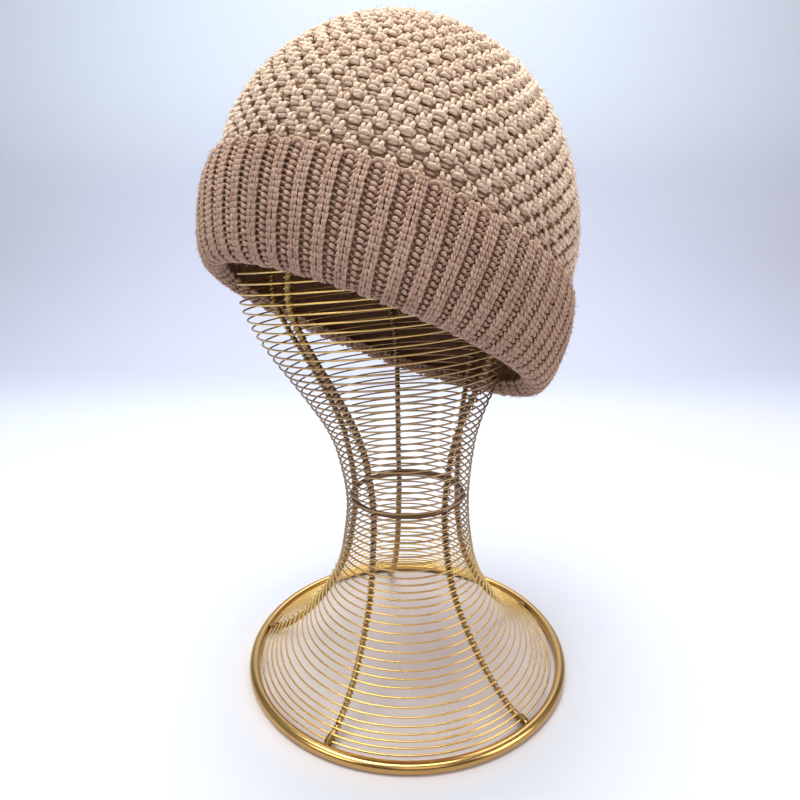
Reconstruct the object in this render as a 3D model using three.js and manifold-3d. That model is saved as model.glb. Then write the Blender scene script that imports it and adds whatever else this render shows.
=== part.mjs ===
// A knitted hat with a turned-up ribbed cuff, on the wire stand that holds it up.
// Millimetres, +Z up. The stand's foot lies on z = 0, with the model's box centred on the origin.
import * as THREE from "three";
import * as BufferGeometryUtils from "three/addons/utils/BufferGeometryUtils.js";
import Module from "manifold-3d";

// The stand's foot and rods
const BASE_RING_RADIUS = 77.5;
const BASE_ROD_RADIUS = 2.5;
const BASE_SIDES = 10;
const BASE_SEGMENTS = 36;
const RIB_RADIUS = 1.5;
const RIB_SIDES = 6;
const RIB_STEPS = 27;
const WAIST_HEIGHT = 87;
const WAIST_ROD_RADIUS = 1.4;
const WAIST_INSET = 0.4;
const WAIST_SEGMENTS = 24;
const TOP_SEGMENTS = 16;
const SHOULDER_HEIGHT = 160;

// The wire wound round the rods, as coarse turns that keep the cage's outline
const WIRE_RADIUS = 0.8;
const WIRE_SIDES = 4;
const TURN_COUNT = 15;
const TURN_SEGMENTS = 24;
const FIRST_TURN = 12;
const LAST_TURN = 271;
const GAP = 0.3;
const CHORD_ALLOWANCE = 0.1;
const OUTLINE_SAMPLES = 400;

// The cage's outline: for each height, the sideways lean of its ring, the ring's tilt in degrees
// with the left side low, and its outer radius
const CAGE = [
  { height: 2.5, lean: 0, tilt: 0, radius: 77.5 },
  { height: 10, lean: 0, tilt: 0, radius: 64.5 },
  { height: 20, lean: 0, tilt: 0, radius: 53.5 },
  { height: 32, lean: 0, tilt: 0, radius: 44.5 },
  { height: 48, lean: 0, tilt: 0, radius: 35.4 },
  { height: 66, lean: 0, tilt: 0, radius: 30.7 },
  { height: 87, lean: 0, tilt: 0.6, radius: 28.9 },
  { height: 112, lean: -1.1, tilt: 2.9, radius: 32.4 },
  { height: 125, lean: -1.8, tilt: 4.1, radius: 36.4 },
  { height: 138, lean: -2.4, tilt: 5.3, radius: 42.8 },
  { height: 150, lean: -3.3, tilt: 5.7, radius: 49.6 },
  { height: 162, lean: -5, tilt: 5.9, radius: 55.6 },
  { height: 174, lean: -7, tilt: 6.1, radius: 59.8 },
  { height: 186, lean: -8.2, tilt: 6, radius: 63 },
  { height: 200, lean: -6.5, tilt: 4, radius: 66.5 },
  { height: 214, lean: -5.5, tilt: 1, radius: 69 },
  { height: 228, lean: -4.8, tilt: -3, radius: 68.4 },
  { height: 240, lean: -3, tilt: -7, radius: 65.8 },
  { height: 251, lean: 0.5, tilt: -11, radius: 59.7 },
  { height: 260, lean: 4.5, tilt: -14.5, radius: 52.9 },
  { height: 267, lean: 8, tilt: -16.5, radius: 44.7 },
  { height: 272, lean: 10, tilt: -18, radius: 37 },
  { height: 276, lean: 11, tilt: -19, radius: 28.6 },
  { height: 278.5, lean: 12, tilt: -19.5, radius: 20 },
];
const CAGE_TOP = CAGE[CAGE.length - 1].height;

// Each rib's direction in degrees from the front towards the right, at its foot, the waist and the top:
// front left, front right, back right, back, back left
const RIBS = [
  { foot: -27, waist: -35, top: -34 },
  { foot: 43, waist: 37, top: 49 },
  { foot: 116, waist: 114, top: 127 },
  { foot: 188, waist: 189, top: 181 },
  { foot: 260, waist: 244, top: 236 },
];

// The hat: its rim's centre from the stand's axis, and how the rim leans
const RIM_CENTRE = new THREE.Vector3(-15.5, -13, 165.5);
const LEAN_RIGHT = THREE.MathUtils.degToRad(21.5);
const LEAN_BACK = THREE.MathUtils.degToRad(17.5);
const RIB_COUNT = 54;
const RIB_DEPTH = 1.2;
const OUTER_LAYER = 4;
const INNER_LAYER = 3.5;
const LAYER_GAP = 0.6;
const WALL_PAIR = OUTER_LAYER + LAYER_GAP + INNER_LAYER;
const CROWN_WALL = 4;
const CROWN_SEGMENTS = 44;

// How far the middle of the hat's ring at each height is off the rim's axis
const HAT_AXIS = [
  { height: 0, right: 0, back: 0 },
  { height: 38.6, right: -6, back: -1.5 },
  { height: 66.5, right: -8.8, back: -1.4 },
  { height: 94.5, right: -10.2, back: -1 },
  { height: 126, right: -10.7, back: 0 },
];

// The cuff's outer face, from the fold's lowest line to its top edge
const CUFF = [
  { height: 0, radius: 72.7 },
  { height: 1.2, radius: 75.4 },
  { height: 4.5, radius: 77.4 },
  { height: 13.5, radius: 80.2 },
  { height: 27, radius: 81.9 },
  { height: 38.6, radius: 80.8 },
];

// The crown's outer face, from the cuff's inner layer to the top
const CROWN = [
  { height: 36.5, radius: 75.9 },
  { height: 44, radius: 77.4 },
  { height: 52, radius: 77.8 },
  { height: 66.5, radius: 75.6 },
  { height: 81, radius: 70.4 },
  { height: 94.5, radius: 62.8 },
  { height: 107, radius: 53 },
  { height: 116.3, radius: 41.5 },
  { height: 122.5, radius: 26 },
  { height: 125, radius: 13 },
];
const CROWN_TOP = 125.6;

const brass = new THREE.MeshStandardMaterial({ color: 0xc9a24e, roughness: 0.25, metalness: 1 });
const antiqueBrass = new THREE.MeshStandardMaterial({ color: 0x8f6f38, roughness: 0.4, metalness: 1 });
const ribbedKnit = new THREE.MeshStandardMaterial({ color: 0xb59a86, roughness: 0.95, metalness: 0 });
const bobbleKnit = new THREE.MeshStandardMaterial({ color: 0xc9b299, roughness: 0.95, metalness: 0 });

// The slope of a column of the table at row i, through its two neighbours
function slopeAt(table, column, i) {
  const before = table[Math.max(i - 1, 0)];
  const after = table[Math.min(i + 1, table.length - 1)];
  return (after[column] - before[column]) / (after.height - before.height);
}

// A smooth value and slope of one column of a table, at any height between its rows
function readTable(table, column, height) {
  const inside = THREE.MathUtils.clamp(height, table[0].height, table[table.length - 1].height);
  let i = 0;
  while (i < table.length - 2 && table[i + 1].height < inside) {
    i += 1;
  }
  const span = table[i + 1].height - table[i].height;
  const t = (inside - table[i].height) / span;
  const p0 = table[i][column];
  const p1 = table[i + 1][column];
  const m0 = slopeAt(table, column, i) * span;
  const m1 = slopeAt(table, column, i + 1) * span;
  const value = (2 * t ** 3 - 3 * t ** 2 + 1) * p0 + (t ** 3 - 2 * t ** 2 + t) * m0
    + (3 * t ** 2 - 2 * t ** 3) * p1 + (t ** 3 - t ** 2) * m1;
  const slope = ((6 * t ** 2 - 6 * t) * (p0 - p1) + (3 * t ** 2 - 4 * t + 1) * m0
    + (3 * t ** 2 - 2 * t) * m1) / span;
  return { value, slope };
}

// The cage's ring at one height
function cageRing(height) {
  return {
    lean: readTable(CAGE, "lean", height).value,
    tilt: THREE.MathUtils.degToRad(readTable(CAGE, "tilt", height).value),
    outline: readTable(CAGE, "radius", height),
  };
}

// A point inside the cage's outline by the inset, at an angle from the front towards the right
function cagePoint(height, angle, inset) {
  const { lean, tilt, outline } = cageRing(height);
  const steepness = Math.hypot(1, outline.slope);
  const radius = outline.value - inset / steepness;
  const rise = (inset * outline.slope) / steepness;
  const side = radius * Math.sin(angle);
  return new THREE.Vector3(
    lean + side * Math.cos(tilt) - rise * Math.sin(tilt),
    -radius * Math.cos(angle),
    height + side * Math.sin(tilt) + rise * Math.cos(tilt),
  );
}

// A regular polygon as a shape; a turn of half a side puts a flat side at the bottom
function polygon(sides, radius, turn = 0) {
  const points = [];
  for (let i = 0; i < sides; i += 1) {
    const angle = (i * 2 * Math.PI) / sides + turn;
    points.push(new THREE.Vector2(radius * Math.cos(angle), radius * Math.sin(angle)));
  }
  return points;
}

// A closed ring of rod, round the Z axis
function ring(ringRadius, rodRadius, sides, segments) {
  const turn = -Math.PI / 2 + Math.PI / sides;
  const profile = polygon(sides, rodRadius, turn).map((p) => new THREE.Vector2(p.x + ringRadius, p.y));
  profile.push(profile[0].clone());
  return new THREE.LatheGeometry(profile, segments).rotateX(Math.PI / 2);
}

// A ring laid in the cage's ring at one height
function cageHoop(height, inset, rodRadius, sides, segments) {
  const hoop = cageRing(height);
  const side = cagePoint(height, Math.PI / 2, inset);
  const centre = new THREE.Vector3(hoop.lean, 0, height);
  const axis = new THREE.Vector3(-Math.sin(hoop.tilt), 0, Math.cos(hoop.tilt));
  const rise = side.clone().sub(centre).dot(axis);
  const reach = side.clone().sub(centre).addScaledVector(axis, -rise).length();
  const radius = reach / Math.cos(Math.PI / segments);
  const geometry = ring(radius, rodRadius, sides, segments);
  geometry.rotateY(-hoop.tilt);
  centre.addScaledVector(axis, rise);
  return geometry.translate(centre.x, centre.y, centre.z);
}

// The direction of a rib at one height
function ribAngle(rib, height) {
  const foot = CAGE[0].height;
  const low = THREE.MathUtils.smoothstep(height, foot, WAIST_HEIGHT);
  const high = THREE.MathUtils.smoothstep(height, WAIST_HEIGHT, SHOULDER_HEIGHT);
  const angle = rib.foot + (rib.waist - rib.foot) * low + (rib.top - rib.waist) * high;
  return THREE.MathUtils.degToRad(angle);
}

const ribInset = 2 * WIRE_RADIUS + GAP + CHORD_ALLOWANCE + RIB_RADIUS;

// One rod from the base ring, where its foot is soldered, to the ring at the top
function rib(row) {
  const points = [cagePoint(CAGE[0].height, ribAngle(row, CAGE[0].height), 0)];
  for (let i = 0; i <= RIB_STEPS; i += 1) {
    const height = CAGE[1].height + ((CAGE_TOP - CAGE[1].height) * i) / RIB_STEPS;
    points.push(cagePoint(height, ribAngle(row, height), ribInset));
  }
  const path = new THREE.CatmullRomCurve3(points);
  return new THREE.ExtrudeGeometry(new THREE.Shape(polygon(RIB_SIDES, RIB_RADIUS)), {
    steps: RIB_STEPS,
    extrudePath: path,
  });
}

const wasm = await Module();
wasm.setup();

// A closed geometry as a solid that can be joined
function toSolid(geometry) {
  const bare = geometry.clone();
  bare.deleteAttribute("normal");
  bare.deleteAttribute("uv");
  const merged = BufferGeometryUtils.mergeVertices(bare, 1e-4);
  return new wasm.Manifold(new wasm.Mesh({
    numProp: 3,
    vertProperties: new Float32Array(merged.attributes.position.array),
    triVerts: new Uint32Array(merged.index.array),
  }));
}

// A solid back as a geometry
function toGeometry(solid) {
  const mesh = solid.getMesh();
  const geometry = new THREE.BufferGeometry();
  geometry.setAttribute("position", new THREE.BufferAttribute(new Float32Array(mesh.vertProperties), 3));
  geometry.setIndex(new THREE.BufferAttribute(new Uint32Array(mesh.triVerts), 1));
  geometry.computeVertexNormals();
  return geometry;
}

// The base ring, five ribs, the waist ring and the top ring, soldered into one
function standFrame() {
  const rodCentre = BASE_ROD_RADIUS * Math.cos(Math.PI / BASE_SIDES);
  const rods = [
    ring(BASE_RING_RADIUS, BASE_ROD_RADIUS, BASE_SIDES, BASE_SEGMENTS).translate(0, 0, rodCentre),
    cageHoop(WAIST_HEIGHT, ribInset + WAIST_INSET, WAIST_ROD_RADIUS, RIB_SIDES, WAIST_SEGMENTS),
    cageHoop(CAGE_TOP, ribInset, RIB_RADIUS, RIB_SIDES, TOP_SEGMENTS),
    ...RIBS.map(rib),
  ];
  let solid = toSolid(rods[0]);
  for (const rod of rods.slice(1)) {
    solid = solid.add(toSolid(rod));
  }
  return toGeometry(solid);
}

// The hat's own frame: up its leaning axis from the middle of its rim
const hatFrame = new THREE.Matrix4()
  .makeRotationY(LEAN_RIGHT)
  .multiply(new THREE.Matrix4().makeRotationX(-LEAN_BACK))
  .setPosition(RIM_CENTRE);

// A point of the hat at a height up its axis, from the front towards the right
function hatPoint(height, radius, angle) {
  const right = readTable(HAT_AXIS, "right", height).value;
  const back = readTable(HAT_AXIS, "back", height).value;
  return new THREE.Vector3(right + radius * Math.sin(angle), back - radius * Math.cos(angle), height);
}

// A closed solid through a grid of points: columns round the hat, each a loop of the section
function loftedRing(columns) {
  const count = columns.length;
  const size = columns[0].length;
  const positions = columns.flat().flatMap((p) => [p.x, p.y, p.z]);
  const faces = [];
  for (let i = 0; i < count; i += 1) {
    for (let j = 0; j < size; j += 1) {
      const a = i * size + j;
      const b = ((i + 1) % count) * size + j;
      const c = ((i + 1) % count) * size + ((j + 1) % size);
      const d = i * size + ((j + 1) % size);
      faces.push(a, b, c, a, c, d);
    }
  }
  return closedGeometry(positions, faces);
}

function closedGeometry(positions, faces) {
  const geometry = new THREE.BufferGeometry();
  geometry.setAttribute("position", new THREE.Float32BufferAttribute(positions, 3));
  geometry.setIndex(faces);
  geometry.computeVertexNormals();
  return geometry;
}

// A table's face moved in by a wall's thickness, square to the face
function insetRows(rows, thickness) {
  return rows.map((row, i) => {
    const slope = slopeAt(rows, "radius", i);
    const inwards = thickness / Math.hypot(1, slope);
    return { height: row.height + inwards * slope, radius: row.radius - inwards };
  });
}

// The turned-up band in section: the outer layer, the fold, and the inner layer behind it;
// ribbed is the share of the rib's depth that a valley has there, taken off the radius
function cuffSection() {
  const face = CUFF.slice(2);
  const slot = [face[0], face[2], face[3]];
  const outerBack = slot.map((row) => ({ ...row, radius: row.radius - OUTER_LAYER }));
  const innerFace = outerBack.map((row) => ({ ...row, radius: row.radius - LAYER_GAP }));
  const innerBack = face.map((row) => ({ ...row, radius: row.radius - WALL_PAIR }));
  const innerTop = CROWN[0].height - GAP;
  const lower = CUFF.slice(0, 2);
  const mirrored = { height: lower[1].height, radius: 2 * lower[0].radius - lower[1].radius };
  const cutTop = (rows) => rows.map((row) => ({ ...row, height: Math.min(row.height, innerTop) }));
  return [
    ...lower.map((row) => ({ ...row, ribbed: 0.3 })),
    ...face.map((row) => ({ ...row, ribbed: 1 })),
    ...outerBack.reverse().map((row) => ({ ...row, ribbed: 0 })),
    ...cutTop(innerFace).map((row) => ({ ...row, ribbed: 0 })),
    ...cutTop(innerBack).reverse().map((row) => ({ ...row, ribbed: -0.5 })),
    { ...mirrored, ribbed: -0.3 },
  ];
}

// The cuff, with a ridge and a valley for each rib of the knit
function cuff() {
  const section = cuffSection();
  const columns = [];
  for (let i = 0; i < RIB_COUNT * 2; i += 1) {
    const angle = (i * Math.PI) / RIB_COUNT;
    const depth = (i % 2) * RIB_DEPTH;
    columns.push(section.map((row) => hatPoint(row.height, row.radius - depth * row.ribbed, angle)));
  }
  return loftedRing(columns);
}

// A dome of rings from the rim up, closed by one point at the top
function domeFaces(rings, top, flip, offset) {
  const faces = [];
  const put = (a, b, c) => faces.push(a + offset, (flip ? c : b) + offset, (flip ? b : c) + offset);
  for (let k = 0; k < rings; k += 1) {
    for (let i = 0; i < CROWN_SEGMENTS; i += 1) {
      const a = k * CROWN_SEGMENTS + i;
      const b = k * CROWN_SEGMENTS + ((i + 1) % CROWN_SEGMENTS);
      if (k === rings - 1) {
        put(a, b, top);
      } else {
        put(a, b, b + CROWN_SEGMENTS);
        put(a, b + CROWN_SEGMENTS, a + CROWN_SEGMENTS);
      }
    }
  }
  return faces;
}

// The crown: a hollow dome of one knitted layer, open below
function crown() {
  const inner = insetRows(CROWN, CROWN_WALL);
  inner[0] = { height: CROWN[0].height, radius: inner[0].radius };
  const positions = [];
  const addDome = (rows, top) => {
    for (const row of rows) {
      for (let i = 0; i < CROWN_SEGMENTS; i += 1) {
        const p = hatPoint(row.height, row.radius, (i * 2 * Math.PI) / CROWN_SEGMENTS);
        positions.push(p.x, p.y, p.z);
      }
    }
    const tip = hatPoint(top, 0, 0);
    positions.push(tip.x, tip.y, tip.z);
  };
  addDome(CROWN, CROWN_TOP);
  addDome(inner, CROWN_TOP - CROWN_WALL);
  const domeSize = CROWN.length * CROWN_SEGMENTS + 1;
  const faces = [
    ...domeFaces(CROWN.length, domeSize - 1, false, 0),
    ...domeFaces(CROWN.length, domeSize - 1, true, domeSize),
  ];
  for (let i = 0; i < CROWN_SEGMENTS; i += 1) {
    const next = (i + 1) % CROWN_SEGMENTS;
    faces.push(i, domeSize + i, domeSize + next, i, domeSize + next, next);
  }
  return closedGeometry(positions, faces);
}

function piece(name, geometry, material) {
  const mesh = new THREE.Mesh(geometry, material);
  mesh.name = name;
  return mesh;
}

// Heights of the coarse turns, evenly spaced along the cage's outline
function turnHeights() {
  const lengths = [0];
  const heights = [FIRST_TURN];
  for (let i = 1; i <= OUTLINE_SAMPLES; i += 1) {
    const height = FIRST_TURN + ((LAST_TURN - FIRST_TURN) * i) / OUTLINE_SAMPLES;
    const step = cagePoint(height, 0, 0).distanceTo(cagePoint(heights[i - 1], 0, 0));
    heights.push(height);
    lengths.push(lengths[i - 1] + step);
  }
  const turns = [];
  for (let k = 0; k < TURN_COUNT; k += 1) {
    const wanted = (lengths[OUTLINE_SAMPLES] * k) / (TURN_COUNT - 1);
    const i = lengths.findIndex((length) => length >= wanted - 1e-6);
    turns.push(heights[i]);
  }
  return turns;
}

const stand = new THREE.Group();
stand.add(piece("stand_frame", standFrame(), brass));
turnHeights().forEach((height, i) => {
  const name = `winding_${String(i + 1).padStart(2, "0")}`;
  stand.add(piece(name, cageHoop(height, WIRE_RADIUS, WIRE_RADIUS, WIRE_SIDES, TURN_SEGMENTS), antiqueBrass));
});

const hat = new THREE.Group();
hat.applyMatrix4(hatFrame);
hat.add(piece("cuff", cuff(), ribbedKnit));
hat.add(piece("crown", crown(), bobbleKnit));

const part = new THREE.Group();
part.add(stand, hat);

// The origin is on the floor under the middle of the whole model
part.updateMatrixWorld(true);
const bounds = new THREE.Box3().setFromObject(part, true);
const middle = bounds.getCenter(new THREE.Vector3());
part.position.set(-middle.x, -middle.y, -bounds.min.z);

export default part;
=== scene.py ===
"""A knitted hat with a turned-up ribbed cuff, on the brass wire stand that holds it up.

The stand is a round foot ring, five rods that rise through a narrow waist to a hidden dome, one long wire
wound round them, and a thin wire lashed up each rod. The hat is a moss-stitch crown and a two by two rib
cuff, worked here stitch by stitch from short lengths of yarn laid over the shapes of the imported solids.
Lengths are millimetres until a mesh is made, and angles run from the front towards the right.
"""
import logging
import math
from dataclasses import dataclass
from enum import Enum, IntEnum
from typing import NamedTuple

import bmesh
import bpy
import numpy as np
from mathutils import Matrix, Vector


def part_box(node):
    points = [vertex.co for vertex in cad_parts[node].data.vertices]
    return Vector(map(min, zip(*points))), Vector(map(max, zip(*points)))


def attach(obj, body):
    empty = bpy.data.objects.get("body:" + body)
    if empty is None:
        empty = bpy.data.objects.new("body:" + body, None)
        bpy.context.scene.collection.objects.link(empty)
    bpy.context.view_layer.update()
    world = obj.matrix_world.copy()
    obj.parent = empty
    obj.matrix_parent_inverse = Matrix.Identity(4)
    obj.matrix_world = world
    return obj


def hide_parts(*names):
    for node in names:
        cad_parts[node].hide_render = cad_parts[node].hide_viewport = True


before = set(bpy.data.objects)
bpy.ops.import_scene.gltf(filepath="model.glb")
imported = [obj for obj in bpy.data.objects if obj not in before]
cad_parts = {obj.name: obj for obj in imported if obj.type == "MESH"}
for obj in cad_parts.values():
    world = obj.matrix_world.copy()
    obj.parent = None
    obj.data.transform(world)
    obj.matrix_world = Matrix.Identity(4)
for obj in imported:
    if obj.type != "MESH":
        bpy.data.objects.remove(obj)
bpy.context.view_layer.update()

log = logging.getLogger("knit_hat")

MM = 0.001
FULL_TURN = 2 * math.pi
BODY = "root"
# Points nearer to each other than this become one.
MERGE_DISTANCE = 1e-4
# A stitch nearer the pole than this is laid as if it were this far off, which keeps it from fanning out.
SMALLEST_RADIUS = 4.0
# The turn over which a sideways direction is measured.
SMALL_ANGLE = 1e-3

Colour = tuple[float, float, float]
Place = tuple[float, float, float]


class Slot(Enum):
    """The record's material slots that the finishes belong to."""

    ROD = "brass_rod"
    WIRE = "brass_wire"
    CUFF = "ribbed_knit"
    CROWN = "bobble_knit"


class Seed(IntEnum):
    """The seed of each knitted piece's own unevenness."""

    BOBBLES = 10
    EARS = 11
    RECESSES = 13
    CHEEKS = 14
    CROWN_FUZZ = 15
    LEFT_WALES = 21
    RIGHT_WALES = 22
    PURLS = 23
    EDGE = 24
    CUFF_FUZZ = 25


class Rise(NamedTuple):
    """The values at which a smooth rise starts and ends; a fall starts at the greater one."""

    start: float
    end: float


class CageRow(NamedTuple):
    """One ring of the stand's outline."""

    height: float
    lean: float
    tilt: float
    radius: float


class RodRow(NamedTuple):
    """The direction of one rod at its foot, the waist and the top, in degrees."""

    foot: float
    waist: float
    top: float


class BeadRow(NamedTuple):
    """A ring of solder beads: its height, its depth in the cage, and how tall a bead is for its width."""

    height: float
    inset: float
    tallness: float


class ProfileRow(NamedTuple):
    """One ring of a knitted face, by its height up the hat's axis."""

    height: float
    radius: float


class WallRow(NamedTuple):
    """One ring of a knit's backing, and the depth of the ribs there."""

    height: float
    radius: float
    rib: float


class AxisRow(NamedTuple):
    """How far the hat's ring at one height is off the rim's axis."""

    height: float
    right: float
    back: float


class DriftRow(NamedTuple):
    """How far a rib near one direction strays from even spacing, at the rim and at the edge, in degrees."""

    direction: float
    rim: float
    edge: float


class LightRow(NamedTuple):
    """A soft square light: its place and width in metres, its power in watts and its colour."""

    name: str
    place: Place
    width: float
    power: float
    colour: Colour


@dataclass(frozen=True)
class SmoothCurve:
    """A smooth curve through rows of one value against one key.

    Attributes:
        keys: Rising positions of the rows.
        values: The value at each row.
    """

    keys: tuple[float, ...]
    values: tuple[float, ...]

    def read(self, where: np.ndarray) -> tuple[np.ndarray, np.ndarray]:
        """Read the curve.

        Args:
            where: Positions along the key.

        Returns:
            The values and the slopes there.
        """
        keys = np.array(self.keys)
        values = np.array(self.values)
        after = np.minimum(np.arange(len(keys)) + 1, len(keys) - 1)
        before = np.maximum(np.arange(len(keys)) - 1, 0)
        slopes = (values[after] - values[before]) / (keys[after] - keys[before])
        inside = np.clip(where, keys[0], keys[-1])
        i = np.clip(np.searchsorted(keys, inside, side="right") - 1, 0, len(keys) - 2)
        span = keys[i + 1] - keys[i]
        t = (inside - keys[i]) / span
        p0, p1 = values[i], values[i + 1]
        m0, m1 = slopes[i] * span, slopes[i + 1] * span
        value = ((2 * t**3 - 3 * t**2 + 1) * p0 + (t**3 - 2 * t**2 + t) * m0
                 + (3 * t**2 - 2 * t**3) * p1 + (t**3 - t**2) * m1)
        slope = ((6 * t**2 - 6 * t) * (p0 - p1) + (3 * t**2 - 4 * t + 1) * m0
                 + (3 * t**2 - 2 * t) * m1) / span
        return value, slope


def smoothstep(value: np.ndarray, rise: Rise) -> np.ndarray:
    """Rise smoothly from 0 to 1.

    Args:
        value: The values that the rise is read at.
        rise: Where it starts and ends.

    Returns:
        0 before the rise, 1 after it and a smooth value between.
    """
    t = np.clip((value - rise.start) / (rise.end - rise.start), 0, 1)
    return t * t * (3 - 2 * t)


def unit(vectors: np.ndarray) -> np.ndarray:
    """Return vectors of length 1 with the same directions."""
    return vectors / np.linalg.norm(vectors, axis=-1, keepdims=True)


def stand_axis() -> np.ndarray:
    """Return the stand's upright axis on the floor, in millimetres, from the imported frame."""
    low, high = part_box("stand_frame")
    return np.array([(low[0] + high[0]) / 2, (low[1] + high[1]) / 2, 0]) / MM


def opaque(colour: Colour) -> tuple[float, float, float, float]:
    """Return a colour with its alpha of 1, as sockets take it."""
    return (*colour, 1.0)


def link(name: str, mesh: bpy.types.Mesh) -> bpy.types.Object:
    """Put a mesh in the scene as an object at the origin.

    Args:
        name: The object's name.
        mesh: Its mesh, in metres and in place.

    Returns:
        The object.
    """
    placed = bpy.data.objects.new(name, mesh)
    bpy.context.scene.collection.objects.link(placed)
    return placed


def from_bmesh(name: str, shape: bmesh.types.BMesh) -> bpy.types.Object:
    """Turn a finished bmesh into a smooth-shaded object.

    Args:
        name: The object's name.
        shape: The bmesh, in millimetres; it is freed.

    Returns:
        The object, in metres.
    """
    bmesh.ops.remove_doubles(shape, verts=shape.verts, dist=MERGE_DISTANCE)
    bmesh.ops.recalc_face_normals(shape, faces=shape.faces)
    bmesh.ops.scale(shape, vec=(MM, MM, MM), verts=shape.verts)
    for face in shape.faces:
        face.smooth = True
    mesh = bpy.data.meshes.new(name)
    shape.to_mesh(mesh)
    shape.free()
    return link(name, mesh)


def drawn_wire(name: str, runs: list[np.ndarray], radius: float, roundness: int) -> bpy.types.Object:
    """Draw round wire along paths.

    Args:
        name: The object's name.
        runs: The paths, each an array of points in millimetres.
        radius: The wire's radius in millimetres.
        roundness: The bevel resolution, 1 for six sides.

    Returns:
        One mesh object with every run in it.
    """
    curve = bpy.data.curves.new(name, "CURVE")
    curve.dimensions = "3D"
    curve.bevel_depth = radius * MM
    curve.bevel_resolution = roundness
    curve.use_fill_caps = True
    for run in runs:
        spline = curve.splines.new("POLY")
        spline.points.add(len(run) - 1)
        spline.points.foreach_set("co", np.column_stack([run * MM, np.ones(len(run))]).ravel())
    drawn = bpy.data.objects.new(name + "_path", curve)
    bpy.context.scene.collection.objects.link(drawn)
    bpy.context.view_layer.update()
    mesh = bpy.data.meshes.new_from_object(drawn.evaluated_get(bpy.context.evaluated_depsgraph_get()))
    bpy.data.objects.remove(drawn)
    bpy.data.curves.remove(curve)
    mesh.name = name
    return link(name, mesh)


def dress(piece: bpy.types.Object, material: bpy.types.Material, nodes: list[str]) -> None:
    """Give a piece its finish and say what it rides on and stands for.

    Args:
        piece: The finished object.
        material: Its material.
        nodes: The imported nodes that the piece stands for.
    """
    piece.data.materials.clear()
    piece.data.materials.append(material)
    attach(piece, BODY)
    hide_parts(*nodes)
    triangles = sum(len(face.vertices) - 2 for face in piece.data.polygons)
    log.info("%s: %d triangles", piece.name, triangles)


class Nodes:
    """A small helper that places and joins shader nodes in one tree."""

    def __init__(self, tree: bpy.types.NodeTree) -> None:
        """Take the tree to work in."""
        self.tree = tree

    def add(self, kind: str, **settings: object) -> bpy.types.Node:
        """Add a node.

        Args:
            kind: The node's type.
            settings: Its properties, by name.

        Returns:
            The node.
        """
        node = self.tree.nodes.new(kind)
        for name, value in settings.items():
            setattr(node, name, value)
        return node

    def join(self, source: bpy.types.NodeSocket, target: bpy.types.NodeSocket) -> None:
        """Join two sockets."""
        self.tree.links.new(source, target)

    def feed(self, socket: bpy.types.NodeSocket, value: object) -> None:
        """Join a socket to another one, or set it to a number or colour.

        Args:
            socket: The input socket.
            value: The output socket, number or colour that it gets.
        """
        if isinstance(value, bpy.types.NodeSocket):
            self.join(value, socket)
        else:
            socket.default_value = value

    def math(self, operation: str, a: object, b: object = 0.0) -> bpy.types.NodeSocket:
        """Add a math node.

        Args:
            operation: What it works out.
            a: Its first socket or number.
            b: Its second one.

        Returns:
            Its output.
        """
        node = self.add("ShaderNodeMath", operation=operation)
        for socket, value in zip(node.inputs, (a, b)):
            self.feed(socket, value)
        return node.outputs[0]

    def scaled(self, value: object, amount: object) -> bpy.types.NodeSocket:
        """Return a value multiplied by an amount."""
        return self.math("MULTIPLY", value, amount)

    def total(self, a: object, b: object) -> bpy.types.NodeSocket:
        """Return the sum of two values."""
        return self.math("ADD", a, b)

    def mix(self, factor: object, a: object, b: object) -> bpy.types.NodeSocket:
        """Mix two colours, whose sockets come after those that the node has for numbers and vectors.

        Args:
            factor: The share of the second colour.
            a: The first colour.
            b: The second colour.

        Returns:
            The mixed colour.
        """
        node = self.add("ShaderNodeMix", data_type="RGBA", blend_type="MIX")
        for socket, value in zip((node.inputs[0], node.inputs[6], node.inputs[7]), (factor, a, b)):
            self.feed(socket, value)
        return node.outputs[2]

    def ramp(self, value: object, rise: Rise) -> bpy.types.NodeSocket:
        """Turn a value into 0 before a rise and 1 after it, with smooth ends.

        Args:
            value: The value.
            rise: Where the rise starts and ends.

        Returns:
            The result.
        """
        node = self.add("ShaderNodeMapRange", interpolation_type="SMOOTHSTEP")
        for index, given in enumerate((value, rise.start, rise.end)):
            self.feed(node.inputs[index], given)
        return node.outputs[0]

    def noise(self, where: bpy.types.NodeSocket, scale: float, detail: float) -> bpy.types.NodeSocket:
        """Add a noise texture.

        Args:
            where: The place that it reads.
            scale: Its scale.
            detail: Its octaves.

        Returns:
            Its value.
        """
        node = self.add("ShaderNodeTexNoise")
        self.join(where, node.inputs["Vector"])
        node.inputs["Scale"].default_value = scale
        node.inputs["Detail"].default_value = detail
        return node.outputs[0]

    def place(self) -> bpy.types.NodeSocket:
        """Return the object's own coordinates."""
        return self.add("ShaderNodeTexCoord").outputs["Object"]

    def split(self, vector: bpy.types.NodeSocket) -> tuple[bpy.types.NodeSocket, ...]:
        """Split a vector.

        Args:
            vector: The vector.

        Returns:
            Its three parts.
        """
        node = self.add("ShaderNodeSeparateXYZ")
        self.join(vector, node.inputs[0])
        return tuple(node.outputs)

    def attribute(self, name: str) -> bpy.types.NodeSocket:
        """Return a number that the mesh carries."""
        return self.add("ShaderNodeAttribute", attribute_name=name).outputs["Fac"]


def new_group(name: str, inputs: dict[str, str], outputs: dict[str, str]) -> bpy.types.NodeTree:
    """Start a shader node group.

    Args:
        name: The group's name.
        inputs: Socket types by the names of the inputs.
        outputs: Socket types by the names of the outputs.

    Returns:
        The empty group with its sockets.
    """
    group = bpy.data.node_groups.new(name, "ShaderNodeTree")
    for direction, sockets in (("INPUT", inputs), ("OUTPUT", outputs)):
        for label, kind in sockets.items():
            group.interface.new_socket(name=label, in_out=direction, socket_type=kind)
    return group


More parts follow.
